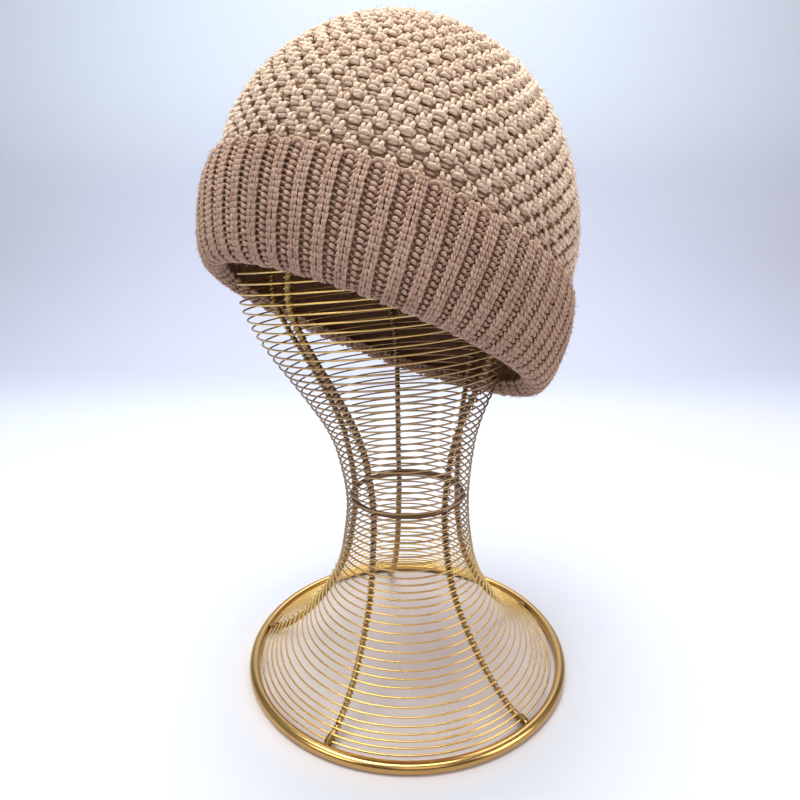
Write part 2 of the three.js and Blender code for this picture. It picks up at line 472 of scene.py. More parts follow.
@dataclass(frozen=True)
class YarnGrain:
    """How wool varies along its plies and over the hat, the same for every knit.

    Attributes:
        plies: Plies that the yarn is spun from.
        fibre_scale: How fast fibres vary along a strand, round it and from strand to strand.
        hair_scale: Scale of the finest hair over the hat.
        cloud_scale: Scale of the soft patches over the hat.
        cloud_share: Share of the patches in the mix of shade and light.
        tint_share: Share of each strand's own tint in that mix.
        lit: Values of the mix that give shade and light.
        furrow: How dark the painted shade in the furrow between two plies is.
        sunk: Depths at which painted shade starts and ends on a strand, from proud to deep.
        streaked: Values of the fibres that start and end a pale streak.
        streak: How pale a streak is.
        matted: Values of the hair that start and end a dark spot.
        mat: How dark a spot is.
        roughness: The wool's least roughness.
        hair_roughness: How much hair adds to it.
        ply_relief: Share of the plies in the relief.
        fibre_relief: Share of the fibres in it.
        hair_relief: Share of the hair in it.
    """

    plies: int = 3
    fibre_scale: tuple[float, float, float] = (0.9, 11.0, 40.0)
    hair_scale: float = 2600.0
    cloud_scale: float = 55.0
    cloud_share: float = 0.7
    tint_share: float = 0.5
    lit: Rise = Rise(0.25, 0.85)
    furrow: float = 0.3
    sunk: Rise = Rise(0.5, -0.15)
    streaked: Rise = Rise(0.45, 0.7)
    streak: float = 0.35
    matted: Rise = Rise(0.6, 0.3)
    mat: float = 0.3
    roughness: float = 0.85
    hair_roughness: float = 0.1
    ply_relief: float = 0.7
    fibre_relief: float = 0.5
    hair_relief: float = 0.5

    def group(self) -> bpy.types.NodeTree:
        """Build the yarn's colour, roughness and relief from each strand's own length and depth, with painted
        shade where a strand lies deep and in the furrows between plies.

        Returns:
            The group that every knit's material holds.
        """
        colour, number = "NodeSocketColor", "NodeSocketFloat"
        group = new_group(
            "wool_yarn",
            {"Light": colour, "Shade": colour, "Hollow": colour, "Ply": number},
            {"Color": colour, "Roughness": number, "Height": number},
        )
        nodes = Nodes(group)
        given = nodes.add("NodeGroupInput").outputs
        result = nodes.add("NodeGroupOutput").inputs
        along, around, _ = nodes.split(nodes.add("ShaderNodeUVMap", uv_map="strand").outputs[0])
        tint = nodes.attribute("tint")
        lay = nodes.total(nodes.scaled(along, given["Ply"]), around)
        wave = nodes.math("SINE", nodes.scaled(lay, FULL_TURN * self.plies))
        ply = nodes.total(nodes.scaled(wave, 0.5), 0.5)
        spun = nodes.add("ShaderNodeCombineXYZ")
        for socket, source, scale in zip(spun.inputs, (along, lay, tint), self.fibre_scale):
            nodes.join(nodes.scaled(source, scale), socket)
        fibre = nodes.noise(spun.outputs[0], 1.0, detail=2.0)
        place = nodes.place()
        hair = nodes.noise(place, self.hair_scale, detail=3.0)
        cloud = nodes.noise(place, self.cloud_scale, detail=2.0)
        uneven = nodes.total(nodes.scaled(cloud, self.cloud_share), nodes.scaled(tint, self.tint_share))
        body = nodes.mix(nodes.ramp(uneven, self.lit), given["Shade"], given["Light"])
        # Painted shade in the furrow between two plies, in the hollow colour.
        furrows = nodes.scaled(nodes.math("SUBTRACT", 1.0, ply), self.furrow)
        plied = nodes.mix(furrows, body, given["Hollow"])
        # Painted shade: a strand that lies deep is mixed towards the hollow colour.
        sunk = nodes.mix(nodes.ramp(nodes.attribute("depth"), self.sunk), plied, given["Hollow"])
        streaks = nodes.scaled(nodes.ramp(fibre, self.streaked), self.streak)
        streaked = nodes.mix(streaks, sunk, given["Light"])
        mats = nodes.scaled(nodes.ramp(hair, self.matted), self.mat)
        nodes.join(nodes.mix(mats, streaked, given["Hollow"]), result["Color"])
        nodes.join(nodes.total(nodes.scaled(hair, self.hair_roughness), self.roughness), result["Roughness"])
        relief = nodes.total(nodes.scaled(ply, self.ply_relief), nodes.scaled(fibre, self.fibre_relief))
        nodes.join(nodes.total(relief, nodes.scaled(hair, self.hair_relief)), result["Height"])
        return group


@dataclass(frozen=True)
class BrassGrain:
    """Where and how the stand's brass is rubbed, and where a dark reflection is painted on it, the same for
    every kind of it.

    Attributes:
        patch_scale: Scale of the worn patches.
        speck_scale: Scale of the fine specks.
        dark_reflection_rise: Heights in metres over which a painted dark brown reflection sets in, going up.
        dark_reflection_fall: Heights at which the brass starts and ends being painted dark again, from the
            top down.
        patched: Values of the patches that start and end rubbing.
        patch_share: How rubbed a patch is.
        wear_and_reflection_roughness: How much the rubbed patches and the painted dark reflection add to the
            roughness.
        speck_roughness: How much the specks add to it.
    """

    patch_scale: float = 28.0
    speck_scale: float = 900.0
    dark_reflection_rise: Rise = Rise(0.035, 0.085)
    dark_reflection_fall: Rise = Rise(0.19, 0.14)
    patched: Rise = Rise(0.42, 0.68)
    patch_share: float = 0.35
    wear_and_reflection_roughness: float = 0.2
    speck_roughness: float = 0.06

    def group(self) -> bpy.types.NodeTree:
        """Build the brass colour and roughness from noise and height in the object's own place: rubbed
        patches, and a painted dark reflection over the middle heights.

        Returns:
            The group that every brass material holds.
        """
        colour, number = "NodeSocketColor", "NodeSocketFloat"
        group = new_group(
            "drawn_brass",
            {"Bright": colour, "Dull": colour, "Polish": number, "Wear and dark reflection": number},
            {"Color": colour, "Roughness": number, "Height": number},
        )
        nodes = Nodes(group)
        given = nodes.add("NodeGroupInput").outputs
        result = nodes.add("NodeGroupOutput").inputs
        place = nodes.place()
        patches = nodes.noise(place, self.patch_scale, detail=3.0)
        specks = nodes.noise(place, self.speck_scale, detail=2.0)
        level = nodes.split(place)[2]
        # Painted dark reflection over the middle heights, added to the rubbed patches; both turn the bright
        # colour dull and the brass rougher.
        painted_dark_reflection = nodes.scaled(nodes.ramp(level, self.dark_reflection_rise), nodes.ramp(level, self.dark_reflection_fall))
        spread = nodes.total(nodes.scaled(nodes.ramp(patches, self.patched), self.patch_share), painted_dark_reflection)
        worn_and_dark_reflection = nodes.scaled(nodes.math("MINIMUM", spread, 1.0), given["Wear and dark reflection"])
        nodes.join(nodes.mix(worn_and_dark_reflection, given["Bright"], given["Dull"]), result["Color"])
        rough = nodes.total(given["Polish"], nodes.scaled(worn_and_dark_reflection, self.wear_and_reflection_roughness))
        nodes.join(nodes.total(rough, nodes.scaled(specks, self.speck_roughness)), result["Roughness"])
        nodes.join(specks, result["Height"])
        return group


def finish_material(name: str, group: bpy.types.NodeTree, given: dict[str, object], shader: dict[str, object],
                    bump: float, bump_height: float) -> bpy.types.Material:
    """Make a material that holds one shared group.

    Args:
        name: The material's name.
        group: The group, which puts out Color, Roughness and Height.
        given: Values of the group's inputs.
        shader: Values of the shader's own sockets.
        bump: Strength of the relief.
        bump_height: Height of the relief in millimetres.

    Returns:
        The material.
    """
    material = bpy.data.materials.new(name)
    material.use_nodes = True
    nodes = Nodes(material.node_tree)
    principled = material.node_tree.nodes["Principled BSDF"].inputs
    finish = nodes.add("ShaderNodeGroup", node_tree=group)
    for sockets, values in ((principled, shader), (finish.inputs, given)):
        for label, value in values.items():
            sockets[label].default_value = value
    relief = nodes.add("ShaderNodeBump")
    relief.inputs["Strength"].default_value = bump
    relief.inputs["Distance"].default_value = bump_height * MM
    nodes.join(finish.outputs["Height"], relief.inputs["Height"])
    nodes.join(finish.outputs["Color"], principled["Base Color"])
    nodes.join(finish.outputs["Roughness"], principled["Roughness"])
    nodes.join(relief.outputs[0], principled["Normal"])
    return material


@dataclass(frozen=True)
class YarnFinish:
    """The look of one knit's wool.

    Attributes:
        name: The material's name.
        light: Colour of the strands that stand proud.
        shade: Colour of the darker strands.
        hollow: Colour of the painted shade deep between the strands and in the furrows between plies, and of
            the dark spots in the hair.
        ply: Twists of the yarn for each millimetre.
        bump: Strength of the relief.
        bump_height: Height of the relief in millimetres.
        sheen: How much light the fuzz catches.
        sheen_roughness: How widely the fuzz spreads it.
        specular: How much the wool shines.
    """

    name: str
    light: Colour
    shade: Colour
    hollow: Colour
    ply: float = 0.2
    bump: float = 0.6
    bump_height: float = 0.2
    sheen: float = 0.2
    sheen_roughness: float = 0.5
    specular: float = 0.2

    def material(self, group: bpy.types.NodeTree) -> bpy.types.Material:
        """Make the material.

        Args:
            group: The shared yarn group.

        Returns:
            The material, with the group in it.
        """
        given = {"Light": opaque(self.light), "Shade": opaque(self.shade), "Hollow": opaque(self.hollow),
                 "Ply": self.ply}
        shader = {"Sheen Weight": self.sheen, "Sheen Roughness": self.sheen_roughness,
                  "Sheen Tint": opaque(self.light), "Specular IOR Level": self.specular}
        return finish_material(self.name, group, given, shader, self.bump, self.bump_height)


@dataclass(frozen=True)
class BrassFinish:
    """The look of one kind of brass.

    Attributes:
        name: The material's name.
        bright: Colour where the metal is clean.
        dull: Colour where it is rubbed and where the dark reflection is painted.
        polish: Roughness where it is clean.
        wear_and_dark_reflection: How far the rubbed patches and the painted dark reflection reach, from 0 to
            1.
        bump: Strength of the relief.
        bump_height: Height of the relief in millimetres.
    """

    name: str
    bright: Colour
    dull: Colour
    polish: float
    wear_and_dark_reflection: float
    bump: float = 0.1
    bump_height: float = 0.05

    def material(self, group: bpy.types.NodeTree) -> bpy.types.Material:
        """Make the material.

        Args:
            group: The shared brass group.

        Returns:
            The material, with the group in it.
        """
        given = {"Bright": opaque(self.bright), "Dull": opaque(self.dull), "Polish": self.polish,
                 "Wear and dark reflection": self.wear_and_dark_reflection}
        return finish_material(self.name, group, given, {"Metallic": 1.0}, self.bump, self.bump_height)


# Each dull colour serves both the rubbed patches and the painted dark reflection.
POLISHED_BRASS = BrassFinish(
    "polished_brass", bright=(0.56, 0.34, 0.12), dull=(0.42, 0.225, 0.075), polish=0.17, wear_and_dark_reflection=0.7)
AGED_BRASS = BrassFinish(
    "aged_brass", bright=(0.36, 0.23, 0.085), dull=(0.20, 0.115, 0.065), polish=0.22, wear_and_dark_reflection=0.95)
WIRE_BRASS = BrassFinish(
    "wire_brass", bright=(0.86, 0.57, 0.18), dull=(0.47, 0.32, 0.195), polish=0.22, wear_and_dark_reflection=0.9)
LASH_BRASS = BrassFinish(
    "lash_brass", bright=(0.60, 0.41, 0.15), dull=(0.58, 0.42, 0.28), polish=0.16, wear_and_dark_reflection=0.95)
# Each hollow colour is painted shade, deep between the strands and in the ply furrows.
CROWN_WOOL = YarnFinish(
    "crown_wool", light=(0.77, 0.605, 0.485), shade=(0.64, 0.465, 0.355), hollow=(0.48, 0.32, 0.225))
# The backings' wool is darker and reads almost only its hollow colour: painted shade in the gaps between
# stitches and inside the hat.
CROWN_SHADED_BACKING = YarnFinish(
    "crown_backing_painted_shade", light=(0.62, 0.45, 0.34), shade=(0.52, 0.36, 0.26), hollow=(0.36, 0.23, 0.155))
CUFF_WOOL = YarnFinish(
    "cuff_wool", light=(0.56, 0.375, 0.29), shade=(0.43, 0.265, 0.195), hollow=(0.17, 0.09, 0.055))
CUFF_SHADED_BACKING = YarnFinish(
    "cuff_backing_painted_shade", light=(0.44, 0.27, 0.18), shade=(0.34, 0.20, 0.13), hollow=(0.20, 0.11, 0.065))


class Cage:
    """The smooth outline that the stand's rods and wire follow.

    Attributes:
        ROWS: Its rings from the foot to the top, the lower ones level and the others tilted.
        RODS: The five rods, from the front left one round by the right.
        FOOT: Height of the foot ring's middle.
        WAIST: Height of the waist ring.
        SHOULDER: Height from which the rods keep their direction.
        TOP: Height of the top ring.
    """

    ROWS = (
        CageRow(2.5, 0, 0, 77.5),
        CageRow(10, 0, 0, 64.5),
        CageRow(20, 0, 0, 53.5),
        CageRow(32, 0, 0, 44.5),
        CageRow(48, 0, 0, 36.2),
        CageRow(66, 0, 0, 32),
        CageRow(87, 0, 0.6, 30.4),
        CageRow(112, -1.1, 2.9, 33.6),
        CageRow(125, -1.9, 4.1, 37.7),
        CageRow(138, -2.9, 5.3, 44),
        CageRow(150, -4.2, 5.5, 50.6),
        CageRow(162, -6.2, 5.5, 56.8),
        CageRow(174, -8.5, 5.4, 61.5),
        CageRow(186, -9.5, 5.2, 65.2),
        CageRow(200, -7.5, 4, 67.2),
        CageRow(214, -5.5, 1, 69),
        CageRow(228, -4.8, -3, 68.4),
        CageRow(240, -3, -7, 65.8),
        CageRow(251, 0.5, -11, 59.7),
        CageRow(260, 4.5, -14.5, 52.9),
        CageRow(267, 8, -16.5, 44.7),
        CageRow(272, 10, -18, 37),
        CageRow(276, 11, -19, 28.6),
        CageRow(278.5, 12, -19.5, 20),
    )
    RODS = (
        RodRow(-27, -35, -34),
        RodRow(43, 37, 49),
        RodRow(116, 114, 127),
        RodRow(188, 189, 181),
        RodRow(260, 253, 246),
    )
    FOOT = ROWS[0].height
    WAIST = 87.0
    SHOULDER = 160.0
    TOP = ROWS[-1].height

    def __init__(self, axis: np.ndarray) -> None:
        """Prepare the smooth columns of the outline.

        Args:
            axis: The stand's upright axis.
        """
        self.axis = axis
        heights = tuple(row.height for row in self.ROWS)
        self.lean = SmoothCurve(heights, tuple(row.lean for row in self.ROWS))
        self.tilt = SmoothCurve(heights, tuple(math.radians(row.tilt) for row in self.ROWS))
        self.radius = SmoothCurve(heights, tuple(row.radius for row in self.ROWS))

    def point(self, height: np.ndarray, angle: np.ndarray, inset: float) -> np.ndarray:
        """Find points inside the outline.

        Args:
            height: Heights of the rings.
            angle: Directions on the rings, in radians.
            inset: Distance inwards, square to the outline.

        Returns:
            An array of points.
        """
        lean = self.lean.read(height)[0]
        tilt = self.tilt.read(height)[0]
        outline, slope = self.radius.read(height)
        steepness = np.hypot(1, slope)
        radius = outline - inset / steepness
        rise = inset * slope / steepness
        side = radius * np.sin(angle)
        return self.axis + np.stack(
            [
                lean + side * np.cos(tilt) - rise * np.sin(tilt),
                -radius * np.cos(angle),
                height + side * np.sin(tilt) + rise * np.cos(tilt),
            ],
            axis=-1,
        )

    def rod_angle(self, rod: RodRow, height: np.ndarray) -> np.ndarray:
        """Find a rod's direction.

        Args:
            rod: The rod.
            height: Heights on it.

        Returns:
            Its direction at each height, in radians.
        """
        low = smoothstep(height, Rise(self.FOOT, self.WAIST))
        high = smoothstep(height, Rise(self.WAIST, self.SHOULDER))
        return np.radians(rod.foot + (rod.waist - rod.foot) * low + (rod.top - rod.waist) * high)

    def outline_lengths(self, heights: np.ndarray) -> np.ndarray:
        """Measure the outline.

        Args:
            heights: Rising heights.

        Returns:
            The length along the outline up to each height, from the first one.
        """
        points = self.point(heights, np.zeros_like(heights), 0)
        steps = np.linalg.norm(np.diff(points, axis=0), axis=1)
        return np.concatenate([[0], np.cumsum(steps)])


@dataclass
class StandFrame:
    """The soldered rods: foot ring, five rods, waist ring and top ring.

    Attributes:
        cage: The outline that they follow.
        foot_radius: Radius of the foot ring at its rod's middle.
        foot_rod: Radius of its rod.
        foot_sides: Sides of its section.
        foot_steps: Steps of its spin.
        rod_radius: Radius of the upright rods and the top ring.
        rod_inset: How far inside the outline they lie.
        rod_bend: Height on the outline where a rod's straight end meets its curve.
        rod_points: Points on its curve.
        roundness: The rods' bevel resolution.
        waist_radius: Radius of the waist ring's rod.
        waist_inset: How far inside the outline it lies.
        hoop_steps: Steps of a drawn ring.
        solder_radius: Radius of a bead of solder.
        waist_bead: How tall the waist's beads are for their width.
        FOOT_BEADS: The beads where the rods meet the foot ring.
    """

    cage: Cage
    foot_radius: float = 77.5
    foot_rod: float = 2.5
    foot_sides: int = 20
    foot_steps: int = 144
    rod_radius: float = 1.15
    rod_inset: float = 3.0
    rod_bend: float = 8.0
    rod_points: int = 90
    roundness: int = 3
    waist_radius: float = 1.25
    waist_inset: float = 3.7
    hoop_steps: int = 96
    solder_radius: float = 1.6
    waist_bead: float = 0.85

    FOOT_BEADS = BeadRow(height=5.0, inset=1.6, tallness=0.6)

    def foot_ring(self) -> bpy.types.Object:
        """Spin the round foot ring that rests on the floor.

        Returns:
            The ring.
        """
        shape = bmesh.new()
        turned = Matrix.Translation((self.foot_radius, 0, 0)) @ Matrix.Rotation(math.pi / 2, 4, "X")
        bmesh.ops.create_circle(shape, segments=self.foot_sides, radius=self.foot_rod, matrix=turned)
        bmesh.ops.spin(
            shape, geom=list(shape.edges), cent=(0, 0, 0), axis=(0, 0, 1), angle=FULL_TURN,
            steps=self.foot_steps, use_merge=True, use_duplicate=False,
        )
        place = self.cage.axis + np.array([0, 0, self.foot_rod])
        bmesh.ops.translate(shape, vec=Vector(place), verts=shape.verts)
        return from_bmesh("foot_ring", shape)

    def rod_path(self, rod: RodRow) -> np.ndarray:
        """Find one rod's middle line.

        Args:
            rod: The rod.

        Returns:
            Points from the middle of the foot ring's rod to the top. The first length is straight.
        """
        curve = np.linspace(self.rod_bend, self.cage.TOP, self.rod_points)
        heights = np.concatenate([[self.cage.FOOT], curve])
        points = self.cage.point(heights, self.cage.rod_angle(rod, heights), self.rod_inset)
        points[0] = self.cage.point(heights[:1], self.cage.rod_angle(rod, heights[:1]), 0)[0]
        return points

    def hoop(self, name: str, height: float, inset: float, radius: float) -> bpy.types.Object:
        """Draw a closed ring of rod that lies in the cage's ring at one height.

        Args:
            name: The object's name.
            height: The height.
            inset: Distance inside the outline.
            radius: The rod's radius.

        Returns:
            The ring.
        """
        angles = np.linspace(0, FULL_TURN, self.hoop_steps + 1)
        points = self.cage.point(np.full_like(angles, height), angles, inset)
        return drawn_wire(name, [points], radius, self.roundness)

    def solder(self) -> bpy.types.Object:
        """Put a small bead of solder where each rod meets the waist ring and the foot ring.

        Returns:
            All beads as one object.
        """
        shape = bmesh.new()
        waist_beads = BeadRow(self.cage.WAIST, self.waist_inset, self.waist_bead)
        for rod in self.cage.RODS:
            for bead in (waist_beads, self.FOOT_BEADS):
                level = np.array([bead.height])
                place = self.cage.point(level, self.cage.rod_angle(rod, level), bead.inset)[0]
                made = bmesh.ops.create_icosphere(shape, subdivisions=2, radius=self.solder_radius)
                bmesh.ops.scale(shape, vec=(1, 1, bead.tallness), verts=made["verts"])
                bmesh.ops.translate(shape, vec=Vector(place), verts=made["verts"])
        return from_bmesh("solder_beads", shape)

    def build(self, polished: bpy.types.Material, aged: bpy.types.Material) -> None:
        """Make and dress the rods.

        Args:
            polished: The foot ring's brass.
            aged: The other rods' brass.
        """
        paths = [self.rod_path(rod) for rod in self.cage.RODS]
        dress(self.foot_ring(), polished, ["stand_frame"])
        for piece in (
            drawn_wire("upright_rods", paths, self.rod_radius, self.roundness),
            self.hoop("waist_ring", self.cage.WAIST, self.waist_inset, self.waist_radius),
            self.hoop("top_ring", self.cage.TOP, self.rod_inset, self.rod_radius),
            self.solder(),
        ):
            dress(piece, aged, ["stand_frame"])


@dataclass
class Winding:
    """The long wire wound round the rods, and the thin wire lashed up each rod.

    Attributes:
        cage: The outline that the wire follows.
        stand: The rods that carry it.
        wire_radius: Radius of the wound wire.
        wire_inset: How far inside the outline its middle lies.
        first_height: Height on the outline where it starts.
        last_height: Height where it ends.
        start: Share of a turn at which it starts.
        turn_steps: Points on each turn.
        samples: Rows of the curve that places it.
        crossing_samples: Points at which its crossings with a rod are looked for.
        lash_radius: Radius of the thin wire.
        lash_steps: Points on the thin wire between two turns of the wound one.
        lash_coils: Its coils round the rod between two turns.
        lash_seat: How far its middle is off the rod, as a share of its radius.
        crest_seat: How far its middle is off the wound wire, as a share of its radius.
        crest_power: How sharply it rises to pass over the wound wire.
        knot_turns: Coils of the knot at each rod's foot.
        knot_reach: Where the knot starts and ends, from the middle of the foot ring's rod.
        roundness: The wires' bevel resolution.
        PITCH: Spacing of the turns, by the length of outline wound so far.
    """

    cage: Cage
    stand: StandFrame
    wire_radius: float = 0.43
    wire_inset: float = 0.9
    first_height: float = 4.1
    last_height: float = 271.0
    start: float = 188 / 360
    turn_steps: int = 64
    samples: int = 2000
    crossing_samples: int = 8000
    lash_radius: float = 0.36
    lash_steps: int = 12
    lash_coils: int = 2
    lash_seat: float = 0.8
    crest_seat: float = 0.7
    crest_power: int = 3
    knot_turns: int = 5
    knot_reach: tuple[float, float] = (3.0, 6.8)
    roundness: int = 1

    PITCH = SmoothCurve(
        keys=(0, 10, 15, 25, 30, 36, 46, 56, 66, 80, 120, 170, 320),
        values=(2.6, 2.7, 3.6, 3.7, 3.2, 3.6, 3.9, 3.5, 3.2, 3.3, 3.5, 3.9, 4.0),
    )

    def turns(self) -> SmoothCurve:
        """Space the turns along the outline.

        Returns:
            The height as a curve of the turns wound so far.
        """
        heights = np.linspace(self.first_height, self.last_height, self.samples)
        lengths = self.cage.outline_lengths(heights)
        pitch = self.PITCH.read(lengths)[0]
        wound = np.concatenate([[0], np.cumsum(np.diff(lengths) / pitch[1:])])
        return SmoothCurve(tuple(wound), tuple(heights))

    def wire(self, turns: SmoothCurve) -> bpy.types.Object:
        """Draw the wound wire as one run from the foot to the top.

        Args:
            turns: The height as a curve of the turns wound.

        Returns:
            The wire.
        """
        wound = np.linspace(0, turns.keys[-1], int(turns.keys[-1] * self.turn_steps))
        heights = turns.read(wound)[0]
        points = self.cage.point(heights, (wound + self.start) * FULL_TURN, self.wire_inset)
        return drawn_wire("winding_wire", [points], self.wire_radius, self.roundness)

    def crossings(self, turns: SmoothCurve, rod: RodRow) -> np.ndarray:
        """Find where the wound wire crosses one rod.

        Args:
            turns: The height as a curve of the turns wound.
            rod: The rod.

        Returns:
            The heights of the crossings.
        """
        wound = np.linspace(0, turns.keys[-1], self.crossing_samples)
        heights = turns.read(wound)[0]
        ahead = wound + self.start - self.cage.rod_angle(rod, heights) / FULL_TURN
        whole = np.arange(math.ceil(ahead[0]), math.floor(ahead[-1]) + 1)
        return np.interp(whole, ahead, heights)

    def lashing(self, turns: SmoothCurve, rod: RodRow) -> np.ndarray:
        """Wind the thin wire that ties the winding to one rod.

        Args:
            turns: The height as a curve of the turns wound.
            rod: The rod.

        Returns:
            Points of a helix that hugs the rod and passes over each turn of the winding.
        """
        crossings = self.crossings(turns, rod)
        step = np.linspace(0, len(crossings) - 1, (len(crossings) - 1) * self.lash_steps + 1)
        heights = np.interp(step, np.arange(len(crossings)), crossings)
        angles = self.cage.rod_angle(rod, heights)
        inset = self.stand.rod_inset
        middle = self.cage.point(heights, angles, inset)
        outwards = unit(self.cage.point(heights, angles, 0) - middle)
        sideways = unit(self.cage.point(heights, angles + SMALL_ANGLE, inset) - middle)
        phase = step * FULL_TURN * self.lash_coils
        hug = self.stand.rod_radius + self.lash_radius * self.lash_seat
        over = inset - self.wire_inset + self.wire_radius + self.lash_radius * self.crest_seat - hug
        crest = over * np.clip(np.cos(step * FULL_TURN), 0, 1) ** self.crest_power
        out = (hug + crest * np.clip(np.cos(phase), 0, 1)) * np.cos(phase)
        return middle + outwards * out[:, None] + sideways * (hug * np.sin(phase))[:, None]

    def knot(self, rod: RodRow) -> np.ndarray:
        """Wrap the thin wire's end tight round one rod's straight foot.

        Args:
            rod: The rod.

        Returns:
            The points of its path.
        """
        foot, bend = self.stand.rod_path(rod)[:2]
        ahead = unit(bend - foot)
        sideways = unit(np.cross(ahead, (0.0, 0.0, 1.0)))
        upwards = np.cross(sideways, ahead)
        way = np.linspace(0, 1, self.knot_turns * self.lash_steps + 1)
        phase = way * self.knot_turns * FULL_TURN
        hug = self.stand.rod_radius + self.lash_radius
        along = np.interp(way, (0, 1), self.knot_reach)
        middle = foot + along[:, None] * ahead
        return middle + hug * (np.cos(phase)[:, None] * upwards + np.sin(phase)[:, None] * sideways)

    def build(self, brass: bpy.types.Material, lash: bpy.types.Material, aged: bpy.types.Material) -> None:
        """Make and dress the wires.

        Args:
            brass: The wound wire's brass.
            lash: The thin wire's brass.
            aged: The knots' brass.
        """
        turns = self.turns()
        log.info("winding: %.1f turns", turns.keys[-1])
        nodes = sorted(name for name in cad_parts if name.startswith("winding_"))
        dress(self.wire(turns), brass, nodes)
        lashed = [self.lashing(turns, rod) for rod in self.cage.RODS]
        knots = [self.knot(rod) for rod in self.cage.RODS]
        for name, runs, material in (("rod_lashing", lashed, lash), ("foot_knots", knots, aged)):
            thin = drawn_wire(name, runs, self.lash_radius, self.roundness)
            dress(thin, material, ["stand_frame"])


class HatAxis:
    """The hat's own frame: its leaning axis, and how its rings drift off it.

    Attributes:
        RIM_CENTRE: Middle of the rim, from the stand's axis on the floor.
        LEAN_RIGHT: How far the hat leans to the right.
        LEAN_BACK: How far it leans back.
        DRIFT: How far its rings lie off the rim's axis.
    """

    RIM_CENTRE = (-15.5, -13.0, 165.5)
    LEAN_RIGHT = math.radians(21.5)
    LEAN_BACK = math.radians(17.5)
    DRIFT = (
        AxisRow(0, 0, 0),
        AxisRow(38.6, -6, -1.5),
        AxisRow(66.5, -8.8, -1.4),
        AxisRow(94.5, -10.2, -1),
        AxisRow(126, -10.7, 0),
    )

    def __init__(self, axis: np.ndarray) -> None:
        """Prepare the hat's turn and its rings' drift.

        Args:
            axis: The stand's upright axis.
        """
        turn = Matrix.Rotation(self.LEAN_RIGHT, 3, "Y") @ Matrix.Rotation(-self.LEAN_BACK, 3, "X")
        self.turn = np.array(turn)
        self.rim = axis + np.array(self.RIM_CENTRE)
        heights = tuple(row.height for row in self.DRIFT)
        self.right = SmoothCurve(heights, tuple(row.right for row in self.DRIFT))
        self.back = SmoothCurve(heights, tuple(row.back for row in self.DRIFT))

    def place(self, height: np.ndarray, radius: np.ndarray, angle: np.ndarray) -> np.ndarray:
        """Turn places in the hat into points in the part's frame.

        Args:
            height: Heights up the hat's axis.
            radius: Distances from it.
            angle: Directions round it, in radians.

        Returns:
            An array of points.
        """
        right = self.right.read(height)[0] + radius * np.sin(angle)
        back = self.back.read(height)[0] - radius * np.cos(angle)
        return self.rim + np.stack([right, back, height], axis=-1) @ self.turn.T


class KnitFace:
    """A knitted face of the hat, addressed by the way along its outline, a direction and a depth."""

    def __init__(self, hat: HatAxis, rows: tuple[ProfileRow, ...]) -> None:
        """Measure the outline.

        Args:
            hat: The hat's frame.
            rows: The rings that the face passes through, from its lower edge up.
        """
        self.hat = hat
        heights = np.array([row.height for row in rows])
        radii = np.array([row.radius for row in rows])
        steps = np.hypot(np.diff(heights), np.diff(radii))
        ways = tuple(np.concatenate([[0], np.cumsum(steps)]))
        self.length = ways[-1]
        self.height = SmoothCurve(ways, tuple(heights))
        self.radius = SmoothCurve(ways, tuple(radii))

    def radius_at(self, along: np.ndarray) -> np.ndarray:
        """Return the face's radius at some ways up it."""
        return self.radius.read(along)[0]

    def point(self, along: np.ndarray, angle: np.ndarray, out: np.ndarray) -> np.ndarray:
        """Find points on or off the face.

        Args:
            along: Way up the outline from its lower edge.
            angle: Direction round the hat, in radians.
            out: Distance outwards, square to the face.

        Returns:
            An array of points.
        """
        height, rise = self.height.read(along)
        radius, spread = self.radius.read(along)
        beyond = along - np.clip(along, 0, self.length)
        steepness = np.hypot(rise, spread)
        height = height + beyond * rise / steepness - out * spread / steepness
        radius = radius + beyond * spread / steepness + out * rise / steepness
        return self.hat.place(height, radius, angle)

    def sunk(self, ways: np.ndarray, depth: float) -> list[tuple[float, float]]:
        """Move the outline inwards.

        Args:
            ways: Ways up the outline.
            depth: Distance inwards, square to it.

        Returns:
            The height and the radius at each way.
        """
        height, rise = self.height.read(ways)
        radius, spread = self.radius.read(ways)
        steepness = np.hypot(rise, spread)
        return list(zip(height + depth * spread / steepness, radius - depth * rise / steepness))


@dataclass(frozen=True)
class Strand:
    """One short length of yarn in a stitch, in millimetres from the stitch's middle.

    Attributes:
        path: Points as right, up and out.
        girth: The yarn's radius at each point.
        sides: Sides of its section.
        steps: Lengths that the path is cut into.
    """

    path: tuple[Place, ...]
    girth: tuple[float, ...]
    sides: int
    steps: int

    def mirrored(self) -> "Strand":
        """Return the strand with right and left swapped."""
        return Strand(tuple((-u, v, w) for u, v, w in self.path), self.girth, self.sides, self.steps)

    def rings(self) -> tuple[np.ndarray, np.ndarray]:
        """Work out the strand's rings of points.

        Returns:
            The points as an array of rings, and the way along the strand at each ring.
        """
        keys = tuple(np.linspace(0, 1, len(self.path)))
        where = np.linspace(0, 1, self.steps + 1)
        line = np.stack([SmoothCurve(keys, column).read(where)[0] for column in zip(*self.path)], axis=-1)
        girth = SmoothCurve(keys, self.girth).read(where)[0]
        ahead = unit(np.gradient(line, axis=0))
        outwards = unit(np.array([0.0, 0.0, 1.0]) - ahead[:, 2:] * ahead)
        sideways = np.cross(ahead, outwards)
        turn = np.arange(self.sides) / self.sides * FULL_TURN
        ring = (outwards[:, None] * np.cos(turn)[None, :, None]
                + sideways[:, None] * np.sin(turn)[None, :, None])
        lengths = np.concatenate([[0], np.cumsum(np.linalg.norm(np.diff(line, axis=0), axis=1))])
        return line[:, None] + ring * girth[:, None, None], lengths


